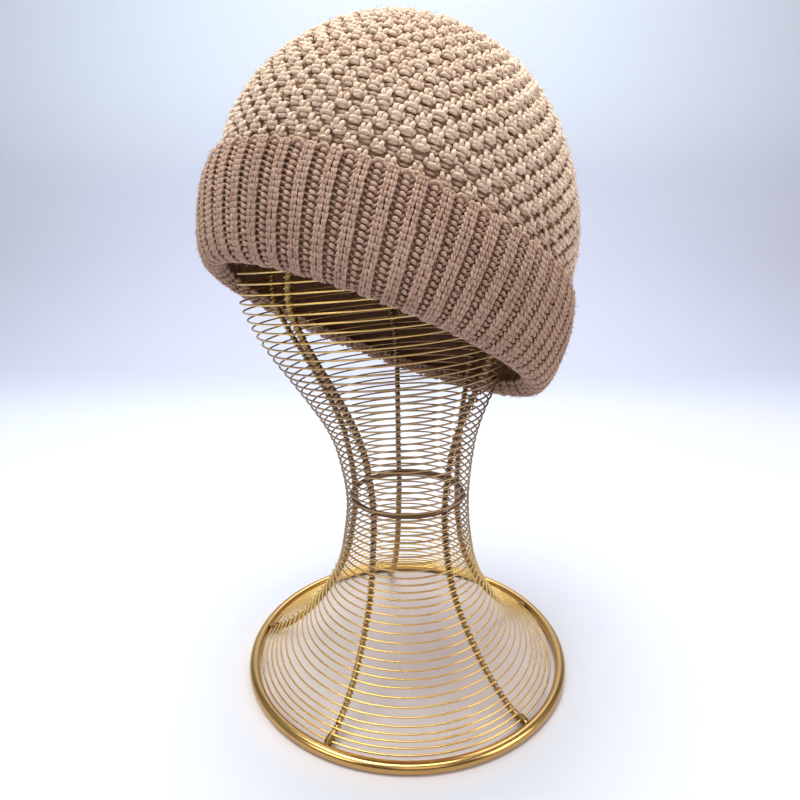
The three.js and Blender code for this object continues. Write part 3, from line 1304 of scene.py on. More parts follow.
@dataclass(frozen=True)
class Places:
    """Where copies of a stitch lie on a face: one entry of each array for a copy.

    Attributes:
        along: Ways up the face.
        angle: Directions round the hat, in radians.
        width: Scales of the stitch's width.
        tallness: Scales of its height.
    """

    along: np.ndarray
    angle: np.ndarray
    width: np.ndarray
    tallness: np.ndarray

    @staticmethod
    def alike(along: np.ndarray, angle: np.ndarray) -> "Places":
        """Return places whose stitches are all as drawn."""
        return Places(along, angle, np.ones_like(along), np.ones_like(along))


class StitchMesh:
    """Gathers the strands of many stitches and joins them in one mesh.

    Attributes:
        ROUGHNESS: How uneven a strand is, as a share of its radius.
        SWELL: How much a copy's size varies for each millimetre that it may stray.
        OUT_STRAY: How far a copy strays outwards, as a share of how far it strays along the face.
    """

    ROUGHNESS = 0.1
    SWELL = 0.4
    OUT_STRAY = 0.6

    def __init__(self, face: KnitFace, seed: Seed) -> None:
        """Start without strands.

        Args:
            face: The face that the stitches lie on.
            seed: The seed of their unevenness.
        """
        self.face = face
        self.random = np.random.default_rng(seed)
        self.points: list[np.ndarray] = []
        self.quads: list[np.ndarray] = []
        self.caps: list[np.ndarray] = []
        self.quad_ways: list[np.ndarray] = []
        self.cap_ways: list[np.ndarray] = []
        self.depths: list[np.ndarray] = []
        self.tints: list[np.ndarray] = []
        self.count = 0

    def lay(self, strand: Strand, places: Places, lift: float, jitter: float) -> None:
        """Lay one strand at every place.

        Args:
            strand: The strand.
            places: Where its stitches lie.
            lift: Height of the stitch's zero over the face.
            jitter: How far each copy strays, in millimetres.
        """
        rings, lengths = strand.rings()
        local = rings.reshape(-1, 3)
        copies = len(places.along)
        radius = np.maximum(self.face.radius_at(places.along), SMALLEST_RADIUS)
        stray = self.random.normal(0, jitter, (copies, 3))
        swell = self.random.normal(1, jitter * self.SWELL, (copies, 1))
        right = local[None, :, 0] * places.width[:, None] * swell + stray[:, :1]
        up = local[None, :, 1] * places.tallness[:, None] * swell + stray[:, 1:2]
        out = lift + local[None, :, 2] * swell + stray[:, 2:] * self.OUT_STRAY
        along = places.along[:, None] + up
        world = self.face.point(along, places.angle[:, None] + right / radius[:, None], out)
        world = world + self.random.normal(0, self.ROUGHNESS * strand.girth[0], world.shape)
        self.points.append(world.reshape(-1, 3))
        self.depths.append(np.broadcast_to(out, up.shape).reshape(-1))
        self.tints.append(np.repeat(self.random.uniform(0, 1, copies), len(local)))
        self.skin(lengths, strand.sides, copies)

    def skin(self, lengths: np.ndarray, sides: int, copies: int) -> None:
        """Add the faces of every copy of a strand whose points were added last.

        Args:
            lengths: The way along the strand at each of its rings.
            sides: Sides of its section.
            copies: How many copies there are.
        """
        rings = len(lengths)
        i, j = np.meshgrid(np.arange(rings - 1), np.arange(sides), indexing="ij")
        near, far = i * sides, (i + 1) * sides
        after = (j + 1) % sides
        quad = np.stack([near + j, near + after, far + after, far + j], axis=-1)
        starts = self.count + np.arange(copies) * rings * sides
        self.quads.append((starts[:, None, None] + quad.reshape(-1, 4)[None]).reshape(-1, 4))
        round_way = np.stack([j, j + 1, j + 1, j], axis=-1) / sides
        length_way = np.stack([lengths[i], lengths[i], lengths[i + 1], lengths[i + 1]], axis=-1)
        ways = np.stack([length_way, round_way], axis=-1).reshape(-1, 2)
        self.quad_ways.append(np.tile(ways, (copies, 1)))
        first = np.arange(sides)[::-1]
        last = (rings - 1) * sides + np.arange(sides)
        for cap in (first, last):
            self.caps.append(starts[:, None] + cap[None])
            self.cap_ways.append(np.zeros((copies * sides, 2)))
        self.count += copies * rings * sides

    def finish(self, name: str, hollow: float, proud: float) -> bpy.types.Object:
        """Join all strands in one object.

        Args:
            name: The object's name.
            hollow: Height over the face that counts as deep, where the painted shade is strongest.
            proud: Height over the face that counts as fully proud, free of painted shade.

        Returns:
            The object, with the strand map, the depth attribute that the yarn's painted shade reads, and the
            tint attribute.
        """
        groups = self.quads + self.caps
        loops = np.concatenate([group.reshape(-1) for group in groups])
        sizes = np.concatenate([np.full(len(group), group.shape[1]) for group in groups])
        starts = np.concatenate([[0], np.cumsum(sizes)[:-1]])
        points = np.concatenate(self.points) * MM
        mesh = bpy.data.meshes.new(name)
        mesh.vertices.add(len(points))
        mesh.vertices.foreach_set("co", points.ravel())
        mesh.loops.add(len(loops))
        mesh.loops.foreach_set("vertex_index", loops.astype(np.int32))
        mesh.polygons.add(len(sizes))
        mesh.polygons.foreach_set("loop_start", starts.astype(np.int32))
        mesh.update(calc_edges=True)
        mesh.polygons.foreach_set("use_smooth", np.ones(len(sizes), dtype=bool))
        strand = mesh.uv_layers.new(name="strand")
        ways = np.concatenate(self.quad_ways + self.cap_ways)
        strand.uv.foreach_set("vector", ways.ravel().astype(np.float32))
        shares = np.clip((np.concatenate(self.depths) - hollow) / (proud - hollow), 0, 1)
        for label, values in (("depth", shares), ("tint", np.concatenate(self.tints))):
            attribute = mesh.attributes.new(label, "FLOAT", "POINT")
            attribute.data.foreach_set("value", values.astype(np.float32))
        mesh.validate()
        return link(name, mesh)


@dataclass(frozen=True)
class Fuzz:
    """Short stray fibres that stand off a knit.

    Attributes:
        face: The knitted face.
        count: How many fibres.
        span: The ways up the face between which they grow.
        root: Height of their roots over the face.
        stray: How far each one strays.
        widths: Least and greatest scale of a fibre's width.
        lengths: Least and greatest scale of its length.
        tries: Places tried for each one, so that fewer grow where the hat is narrow.
        HAIRS: The two kinds of fibre.
        HOLLOW: Height over the face where a fibre's painted shade is strongest.
        PROUD: Height above which it has no painted shade.
    """

    face: KnitFace
    count: int
    span: tuple[float, float]
    root: float = -0.9
    stray: float = 0.2
    widths: tuple[float, float] = (0.4, 1.2)
    lengths: tuple[float, float] = (0.3, 2.0)
    tries: int = 4

    HAIRS = (
        Strand(path=((0, 0, 0.3), (0.5, 0.4, 1.7), (1.5, 0.6, 2.3)), girth=(0.05, 0.045, 0.02),
               sides=3, steps=2),
        Strand(path=((0, 0, 0.3), (0.9, -0.3, 1.5), (1.9, 0.4, 1.8)), girth=(0.05, 0.045, 0.02),
               sides=3, steps=2),
    )
    HOLLOW = -3.0
    PROUD = -1.0

    def build(self, name: str, seed: Seed) -> bpy.types.Object:
        """Scatter the fibres over the face.

        Args:
            name: The object's name.
            seed: Seed of their places.

        Returns:
            One object with all fibres.
        """
        stitches = StitchMesh(self.face, seed)
        random = np.random.default_rng(seed)
        kinds = [hair for strand in self.HAIRS for hair in (strand, strand.mirrored())]
        for hair in kinds:
            copies = self.count // len(kinds)
            tried = random.uniform(*self.span, copies * self.tries)
            radii = self.face.radius_at(tried)
            along = tried[random.uniform(0, radii.max(), len(tried)) < radii][:copies]
            sign = random.choice((-1.0, 1.0), len(along))
            angle = random.uniform(0, FULL_TURN, len(along))
            width = sign * random.uniform(*self.widths, len(along))
            length = sign * random.uniform(*self.lengths, len(along))
            stitches.lay(hair, Places(along, angle, width, length), self.root, self.stray)
        return stitches.finish(name, self.HOLLOW, self.PROUD)


def shell(name: str, hat: HatAxis, section: list[WallRow], ribs: int, steps: int) -> bpy.types.Object:
    """Spin a closed wall section into the knit's backing, with shallow ribs where it has them.

    Args:
        name: The object's name.
        hat: The hat's frame.
        section: The closed section.
        ribs: Ribs round the hat, the first at the front.
        steps: Steps of the spin.

    Returns:
        The object.
    """
    shape = bmesh.new()
    depths = shape.verts.layers.float.new("rib")
    verts = [shape.verts.new((row.radius, 0, row.height)) for row in section]
    for vert, row in zip(verts, section):
        vert[depths] = row.rib
    edges = [shape.edges.new((verts[i - 1], verts[i])) for i in range(len(verts))]
    bmesh.ops.spin(
        shape, geom=edges, cent=(0, 0, 0), axis=(0, 0, 1), angle=FULL_TURN, steps=steps, use_merge=True,
        use_duplicate=False,
    )
    bmesh.ops.remove_doubles(shape, verts=shape.verts, dist=MERGE_DISTANCE)
    for vert in shape.verts:
        angle = math.atan2(vert.co.x, -vert.co.y)
        valley = 0.5 - 0.5 * math.cos(angle * ribs)
        radius = math.hypot(vert.co.x, vert.co.y) - vert[depths] * valley
        vert.co = Vector(hat.place(np.array([vert.co.z]), np.array([radius]), np.array([angle]))[0])
    return from_bmesh(name, shape)


@dataclass
class Crown:
    """The moss-stitch dome: paired bobbles in staggered rows over a thin backing.

    Attributes:
        hat: The hat's frame.
        units: Bobbles in a row round the widest part.
        wall: Depth of the backing's inner side under the face.
        backing_depth: Depth of its outer side.
        backing_rows: Rings of the backing on each side.
        backing_steps: Steps of its spin.
        first_row: Way up the face of the first row, behind the cuff.
        first_bobble: Way up the face below which no bobble is worked.
        pole_gap: Room that the last row leaves at the pole.
        row_base: Spacing of the rows at the face's lower edge.
        row_growth: How much it grows for each millimetre up the face.
        phase: Direction of the first bobble.
        twist: How far the rows turn for each millimetre up the face.
        twist_from: Way up the face where they don't turn.
        row_tilt: How much higher a row lies on the right.
        tilt_fade: Ways up the face over which the tilt goes.
        narrowest_unit: Width at which a row is decreased to two bobbles out of three.
        fewest_units: Bobbles in a row that isn't decreased further.
        nominal_width: Width of a bobble and its recess as drawn.
        nominal_pitch: Spacing of the rows as drawn.
        stray: How far a bobble strays.
        sway: How much its size varies.
        jitter: How far each of its strands strays.
        fuzz_hairs: Stray fibres over the crown.
        fuzz_from: Way up the face from which they grow.
        ROWS: Rings of the face. The last one is past the pole, so that the curve runs on over it.
        EAR: One of the two ears at the top of a bobble.
        CORE: The strand between them.
        SHOULDER: One of the two strands at the bobble's sides.
        BELLY: The strand across its middle.
        CHIN: The strand across its foot.
        RECESS: The upper strand across the recess beside the bobble.
        RECESS_LOW: The lower one.
        BOBBLE_PROUD: Height over the face above which a bobble's yarn has no painted shade.
        RECESS_PROUD: The same for a recess, too high to be reached, which keeps painted shade on all of it.
        ROUND_RADIUS: Radius under which bobbles stray less round the hat.
    """

    hat: HatAxis
    units: int = 54
    wall: float = 4.0
    backing_depth: float = 2.1
    backing_rows: int = 34
    backing_steps: int = 108
    first_row: float = -6.9
    first_bobble: float = 0.5
    pole_gap: float = 5.0
    row_base: float = 3.785
    row_growth: float = 0.0216
    phase: float = math.radians(0.9)
    twist: float = math.radians(0.082)
    twist_from: float = 35.0
    row_tilt: float = 5.4
    tilt_fade: Rise = Rise(75.0, 115.0)
    narrowest_unit: float = 5.3
    fewest_units: int = 6
    nominal_width: float = 8.6
    nominal_pitch: float = 4.6
    stray: float = 0.14
    sway: float = 0.035
    jitter: float = 0.12
    fuzz_hairs: int = 3600
    fuzz_from: float = 4.0

    ROWS = (
        ProfileRow(36.5, 75.9),
        ProfileRow(44, 77.4),
        ProfileRow(52, 77.8),
        ProfileRow(66.5, 75.6),
        ProfileRow(81, 70.4),
        ProfileRow(94.5, 62.8),
        ProfileRow(107, 53),
        ProfileRow(116.3, 41.5),
        ProfileRow(122.5, 26),
        ProfileRow(125, 13),
        ProfileRow(125.6, 0),
        ProfileRow(125, -13),
    )
    EAR = Strand(
        path=((-0.85, 2.9, 0.5), (-1.05, 2.1, 1.75), (-0.98, 1.0, 2.15), (-0.75, -0.1, 1.6)),
        girth=(0.52, 0.76, 0.8, 0.58), sides=5, steps=3,
    )
    CORE = Strand(
        path=((0, 2.3, 0.4), (0, 1.3, 1.2), (0, 0.3, 1.5)),
        girth=(0.45, 0.6, 0.5), sides=5, steps=2,
    )
    SHOULDER = Strand(
        path=((-1.3, 0.9, 0.7), (-1.85, 0.2, 1.35), (-2.1, -0.6, 1.3), (-1.75, -1.4, 0.7)),
        girth=(0.52, 0.75, 0.78, 0.55), sides=5, steps=3,
    )
    BELLY = Strand(
        path=((-1.8, -0.35, 0.8), (-0.75, -0.6, 1.85), (0.75, -0.6, 1.85), (1.8, -0.35, 0.8)),
        girth=(0.62, 0.94, 0.94, 0.62), sides=5, steps=3,
    )
    CHIN = Strand(
        path=((-1.7, -1.5, 0.4), (-0.6, -1.85, 1.4), (0.6, -1.85, 1.4), (1.7, -1.5, 0.4)),
        girth=(0.55, 0.82, 0.82, 0.55), sides=5, steps=3,
    )
    RECESS = Strand(
        path=((2.3, 1.7, -0.2), (4.3, 1.4, 0.5), (6.3, 1.7, -0.2)),
        girth=(0.55, 0.84, 0.55), sides=5, steps=2,
    )
    RECESS_LOW = Strand(
        path=((2.3, -0.2, -0.2), (4.3, -0.5, 0.5), (6.3, -0.2, -0.2)),
        girth=(0.6, 0.88, 0.6), sides=5, steps=2,
    )
    BOBBLE_PROUD = 0.3
    RECESS_PROUD = 2.4
    ROUND_RADIUS = 10.0

    def __post_init__(self) -> None:
        """Prepare the face that the stitches lie on."""
        self.face = KnitFace(self.hat, self.ROWS)
        self.pole = self.face.height.keys[-2]

    def places(self) -> Places:
        """Set out the bobbles, row by row from behind the cuff to the pole.

        Returns:
            The places of all bobbles.
        """
        random = np.random.default_rng(Seed.BOBBLES)
        rows: list[tuple[np.ndarray, ...]] = []
        units = self.units
        way = self.first_row
        while way < self.pole - self.pole_gap:
            pitch = self.row_base + self.row_growth * max(way, 0)
            radius = float(self.face.radius_at(np.array([way]))[0])
            while units > self.fewest_units and FULL_TURN * radius / units < self.narrowest_unit:
                units = units * 2 // 3
            around = self.phase + (np.arange(units) + 0.5 * (len(rows) % 2)) * FULL_TURN / units
            around = around - self.twist * (way - self.twist_from)
            tilt = self.row_tilt * (1 - smoothstep(np.array(way), self.tilt_fade))
            width = FULL_TURN * radius / units / self.nominal_width
            rows.append((
                way + tilt * np.sin(around) + random.normal(0, self.stray, units),
                around + random.normal(0, self.stray, units) / max(radius, self.ROUND_RADIUS),
                width * random.normal(1, self.sway, units),
                pitch / self.nominal_pitch * random.normal(1, self.sway, units),
            ))
            way += pitch
        along, angle, widths, tallness = (np.concatenate(column) for column in zip(*rows))
        kept = along > self.first_bobble
        return Places(along[kept], angle[kept], widths[kept], tallness[kept])

    def knit(self, name: str, strands: tuple[Strand, ...], places: Places, proud: float,
             seed: Seed) -> bpy.types.Object:
        """Lay strands at every bobble and join them.

        Args:
            name: The object's name.
            strands: The strands of one bobble.
            places: Where the bobbles lie.
            proud: Height over the face above which the yarn has no painted shade.
            seed: Seed of their unevenness.

        Returns:
            The object.
        """
        stitches = StitchMesh(self.face, seed)
        for strand in strands:
            stitches.lay(strand, places, -self.backing_depth, self.jitter)
        return stitches.finish(name, -self.backing_depth, proud)

    def backing(self) -> bpy.types.Object:
        """Spin the wall behind the stitches.

        Returns:
            The wall.
        """
        ways = np.linspace(0, self.pole, self.backing_rows)
        rows = self.face.sunk(ways, self.backing_depth) + self.face.sunk(ways[::-1], self.wall)
        section = [WallRow(float(height), max(float(radius), 0.0), 0.0) for height, radius in rows]
        return shell("crown_backing", self.hat, section, self.units, self.backing_steps)

    def build(self, yarn: bpy.types.Material, lining: bpy.types.Material) -> None:
        """Make and dress the crown.

        Args:
            yarn: The stitches' wool.
            lining: The backing's darker wool, mostly painted shade.
        """
        places = self.places()
        log.info("crown: %d bobbles", len(places.along))
        ears = (self.EAR, self.EAR.mirrored(), self.CORE)
        cheeks = (self.SHOULDER, self.SHOULDER.mirrored(), self.BELLY, self.CHIN)
        recess = (self.RECESS, self.RECESS_LOW)
        fuzz = Fuzz(self.face, self.fuzz_hairs, (self.fuzz_from, self.pole))
        for piece in (
            self.knit("crown_ears", ears, places, self.BOBBLE_PROUD, Seed.EARS),
            self.knit("crown_cheeks", cheeks, places, self.BOBBLE_PROUD, Seed.CHEEKS),
            self.knit("crown_recesses", recess, places, self.RECESS_PROUD, Seed.RECESSES),
            fuzz.build("crown_fuzz", Seed.CROWN_FUZZ),
        ):
            dress(piece, yarn, ["crown"])
        dress(self.backing(), lining, ["crown"])


@dataclass
class Cuff:
    """The turned-up two by two rib: raised wales and sunk purl columns, folded at the rim.

    Attributes:
        hat: The hat's frame.
        ribs: Ribs round the cuff.
        rib_depth: Depth of the ribs inside the hat.
        outer_layer: Thickness of the turned-up layer.
        inner_layer: Thickness of the layer behind it.
        layer_gap: Gap between the two.
        backing_depth: Depth of the stitches' zero under the face.
        backing_sink: How much deeper the backing lies.
        backing_rows: Rings of the backing over the face.
        rib_steps: Steps of its spin for each rib.
        row_pitch: Spacing of the rows.
        first_row: Way of the first row, under the fold.
        edge_gap: Room above the last row for the cast-off edge.
        edge_inset: How far the edge's middle is below the top.
        wale_offset: How far a wale's middle is from its rib's.
        rib_width: Width of a rib.
        valley_width: Width of a valley as drawn.
        narrowest_valley: Width of the narrowest one.
        wale_jitter: How far each strand of a wale strays.
        jitter: How far each other strand strays.
        inner_top: Height of the inner layer's top.
        fuzz_hairs: Stray fibres over the cuff.
        fuzz_from: Way up the face from which they grow.
        FOLD: Rings of the soft fold at the rim, from the inside out.
        TURN_UP: Rings of the turned-up layer above it.
        DRIFT: How far the ribs stray from even spacing.
        DRIFT_RIM: Way up the face where the rim's drift holds.
        DRIFT_EDGE: Way where the edge's drift holds.
        DRIFT_LIMITS: Shares of the way from one to the other that the drift stays within.
        WALE: One leg of a knit stitch; the other one is mirrored.
        PURL: The bar of a purl stitch.
        LINK: The strand from it to the rib on its right.
        HELD: The strand to it from the rib on its left.
        RIB_EDGE: The cast-off loop over a rib.
        VALLEY_EDGE: The cast-off loop over a valley.
        PURL_ROWS: The strands of a purl stitch, and how many rows each is moved up.
        PURL_HOLLOW: How far under the backing's depth a valley's painted shade is strongest.
        PURL_PROUD: Height over the face above which it has no painted shade.
        EDGE_HOLLOW: How far under the backing's depth the edge's painted shade is strongest.
    """

    hat: HatAxis
    ribs: int = 54
    rib_depth: float = 1.3
    outer_layer: float = 4.0
    inner_layer: float = 3.5
    layer_gap: float = 0.6
    backing_depth: float = 1.3
    backing_sink: float = 0.45
    backing_rows: int = 30
    rib_steps: int = 4
    row_pitch: float = 1.95
    first_row: float = 0.6
    edge_gap: float = 1.4
    edge_inset: float = 0.6
    wale_offset: float = 1.08
    rib_width: float = 4.2
    valley_width: float = 4.9
    narrowest_valley: float = 2.6
    wale_jitter: float = 0.08
    jitter: float = 0.1
    inner_top: float = 36.2
    fuzz_hairs: int = 2400
    fuzz_from: float = 1.0

    FOLD = (
        ProfileRow(4.2, 66.4),
        ProfileRow(1.2, 68.6),
        ProfileRow(0, 71.2),
        ProfileRow(0.6, 74.2),
    )
    TURN_UP = (
        ProfileRow(4.5, 77.4),
        ProfileRow(13.5, 80.2),
        ProfileRow(27, 81.9),
        ProfileRow(38.6, 80.8),
    )
    DRIFT = (
        DriftRow(-60, 2.2, 0.3),
        DriftRow(-33, 1.9, 1.5),
        DriftRow(-13, 0.8, 1.6),
        DriftRow(0, 0.0, 1.4),
        DriftRow(13, -2.0, 0.7),
        DriftRow(27, -4.6, -0.3),
        DriftRow(40, -7.4, -1.6),
        DriftRow(53, -10.4, -3.6),
        DriftRow(68, -13, -6),
        DriftRow(110, -11, -6),
        DriftRow(180, -3, -2),
        DriftRow(240, 1.5, 0),
        DriftRow(300, 2.2, 0.3),
    )
    DRIFT_RIM = 15.0
    DRIFT_EDGE = 47.0
    DRIFT_LIMITS = (-0.3, 1.1)
    WALE = Strand(
        path=((-0.52, 1.3, 0.3), (-0.54, 0.55, 1.0), (-0.4, -0.4, 1.15), (-0.2, -1.25, 0.4)),
        girth=(0.42, 0.56, 0.56, 0.42), sides=5, steps=3,
    )
    PURL = Strand(
        path=((-1.0, 0.0, -0.4), (-0.4, 0.12, 0.4), (0.45, 0.0, 0.45), (1.15, -0.25, -0.3)),
        girth=(0.45, 0.76, 0.76, 0.45), sides=6, steps=4,
    )
    LINK = Strand(
        path=((0.9, -0.6, -0.7), (1.7, -0.15, 0.0), (2.6, 0.5, 0.3)),
        girth=(0.4, 0.5, 0.45), sides=5, steps=2,
    )
    HELD = Strand(
        path=((-2.7, 0.2, 0.2), (-1.7, 0.05, -0.2), (-0.8, 0.0, -0.6)), girth=(0.45, 0.46, 0.42),
        sides=4, steps=2,
    )
    RIB_EDGE = Strand(
        path=((-1.9, -1.1, 0.8), (-1.0, 0.1, 1.1), (0, -0.3, 1.0), (1.0, 0.1, 1.1), (1.9, -1.1, 0.8)),
        girth=(0.5, 0.65, 0.55, 0.65, 0.5), sides=6, steps=6,
    )
    VALLEY_EDGE = Strand(
        path=((-2.3, -1.0, 0.2), (-1.4, 0.2, 0.6), (0, 0.6, 0.7), (1.4, 0.2, 0.6), (2.3, -1.0, 0.2)),
        girth=(0.5, 0.62, 0.65, 0.62, 0.5), sides=6, steps=6,
    )
    PURL_ROWS = ((PURL, 0.0), (LINK, -0.1), (HELD, 0.5))
    PURL_HOLLOW = 1.2
    PURL_PROUD = -0.4
    EDGE_HOLLOW = 0.5

    def __post_init__(self) -> None:
        """Prepare the face that the stitches lie on and the ribs' drift."""
        self.face = KnitFace(self.hat, self.FOLD + self.TURN_UP)
        directions = tuple(float(row.direction) for row in self.DRIFT)
        self.rim_drift = SmoothCurve(directions, tuple(row.rim for row in self.DRIFT))
        self.edge_drift = SmoothCurve(directions, tuple(row.edge for row in self.DRIFT))

    def columns(self, along: np.ndarray, middle: float) -> tuple[np.ndarray, np.ndarray, np.ndarray]:
        """Find every rib, or every valley, at some ways up the cuff.

        Args:
            along: The ways.
            middle: 0 for the ribs' middles, 0.5 for the valleys'.

        Returns:
            The ways, the directions in radians and the spacing of the ribs, for each column at each way.
        """
        even = (np.arange(self.ribs) + middle) * 360 / self.ribs
        last = self.DRIFT[-1].direction
        even = np.where(even > last, even - 360, even)
        ways, ribs = [grid.ravel() for grid in np.meshgrid(along, even, indexing="ij")]
        share = np.clip((ways - self.DRIFT_RIM) / (self.DRIFT_EDGE - self.DRIFT_RIM), *self.DRIFT_LIMITS)
        rim, rim_slope = self.rim_drift.read(ribs)
        edge, edge_slope = self.edge_drift.read(ribs)
        angle = np.radians(ribs + rim + (edge - rim) * share)
        closeness = 1 + rim_slope + (edge_slope - rim_slope) * share
        return ways, angle, closeness * FULL_TURN * self.face.radius_at(ways) / self.ribs

    def rows(self, up: float) -> np.ndarray:
        """Return the ways of the rows, from under the fold to the edge, moved up by a distance."""
        return np.arange(self.first_row, self.face.length - self.edge_gap, self.row_pitch) + up

    def wales(self, name: str, right: float, seed: Seed) -> bpy.types.Object:
        """Knit one raised wale of every rib.

        Args:
            name: The object's name.
            right: How far the wale is to the right of its rib's middle.
            seed: Seed of its unevenness.

        Returns:
            The object.
        """
        stitches = StitchMesh(self.face, seed)
        along, angle, _ = self.columns(self.rows(0.0), 0)
        places = Places.alike(along, angle + right / self.face.radius_at(along))
        for strand in (self.WALE, self.WALE.mirrored()):
            stitches.lay(strand, places, -self.backing_depth, self.wale_jitter)
        return stitches.finish(name, -self.backing_depth, 0.0)

    def purls(self) -> bpy.types.Object:
        """Knit the sunk purl stitches of every valley.

        Returns:
            The object.
        """
        stitches = StitchMesh(self.face, Seed.PURLS)
        for strand, up in self.PURL_ROWS:
            along, angle, spacing = self.columns(self.rows(up * self.row_pitch), 0.5)
            width = np.maximum(spacing - self.rib_width, self.narrowest_valley) / self.valley_width
            places = Places(along, angle, width, np.ones_like(along))
            stitches.lay(strand, places, -self.backing_depth, self.jitter)
        return stitches.finish("cuff_purls", -self.backing_depth - self.PURL_HOLLOW, self.PURL_PROUD)

    def edge(self) -> bpy.types.Object:
        """Work the scalloped cast-off edge along the cuff's top.

        Returns:
            The object.
        """
        stitches = StitchMesh(self.face, Seed.EDGE)
        for strand, middle in ((self.RIB_EDGE, 0.0), (self.VALLEY_EDGE, 0.5)):
            along, angle, _ = self.columns(np.array([self.face.length - self.edge_inset]), middle)
            stitches.lay(strand, Places.alike(along, angle), -self.backing_depth, self.jitter)
        return stitches.finish("cuff_edge", -self.backing_depth - self.EDGE_HOLLOW, 0.0)

    def backing(self) -> bpy.types.Object:
        """Spin the folded wall behind the stitches, the inner layer included.

        Returns:
            The wall.
        """
        ways = np.linspace(0, self.face.length, self.backing_rows)
        sunk = self.face.sunk(ways, self.backing_depth + self.backing_sink)
        section = [WallRow(float(height), float(radius), 0.0) for height, radius in sunk]
        section += [WallRow(row.height, row.radius - self.outer_layer, 0.0) for row in reversed(self.TURN_UP)]
        inside = self.outer_layer + self.layer_gap
        behind = [ProfileRow(min(row.height, self.inner_top), row.radius - inside) for row in self.TURN_UP]
        section += [WallRow(row.height, row.radius, 0.0) for row in behind]
        section += [WallRow(row.height, row.radius - self.inner_layer, -self.rib_depth)
                    for row in reversed(behind)]
        return shell("cuff_backing", self.hat, section, self.ribs, self.ribs * self.rib_steps)

    def build(self, yarn: bpy.types.Material, lining: bpy.types.Material) -> None:
        """Make and dress the cuff.

        Args:
            yarn: The stitches' wool.
            lining: The backing's darker wool, mostly painted shade.
        """
        fuzz = Fuzz(self.face, self.fuzz_hairs, (self.fuzz_from, self.face.length))
        for piece in (
            self.wales("cuff_left_wales", -self.wale_offset, Seed.LEFT_WALES),
            self.wales("cuff_right_wales", self.wale_offset, Seed.RIGHT_WALES),
            fuzz.build("cuff_fuzz", Seed.CUFF_FUZZ),
            self.purls(),
            self.edge(),
        ):
            dress(piece, yarn, ["cuff"])
        dress(self.backing(), lining, ["cuff"])


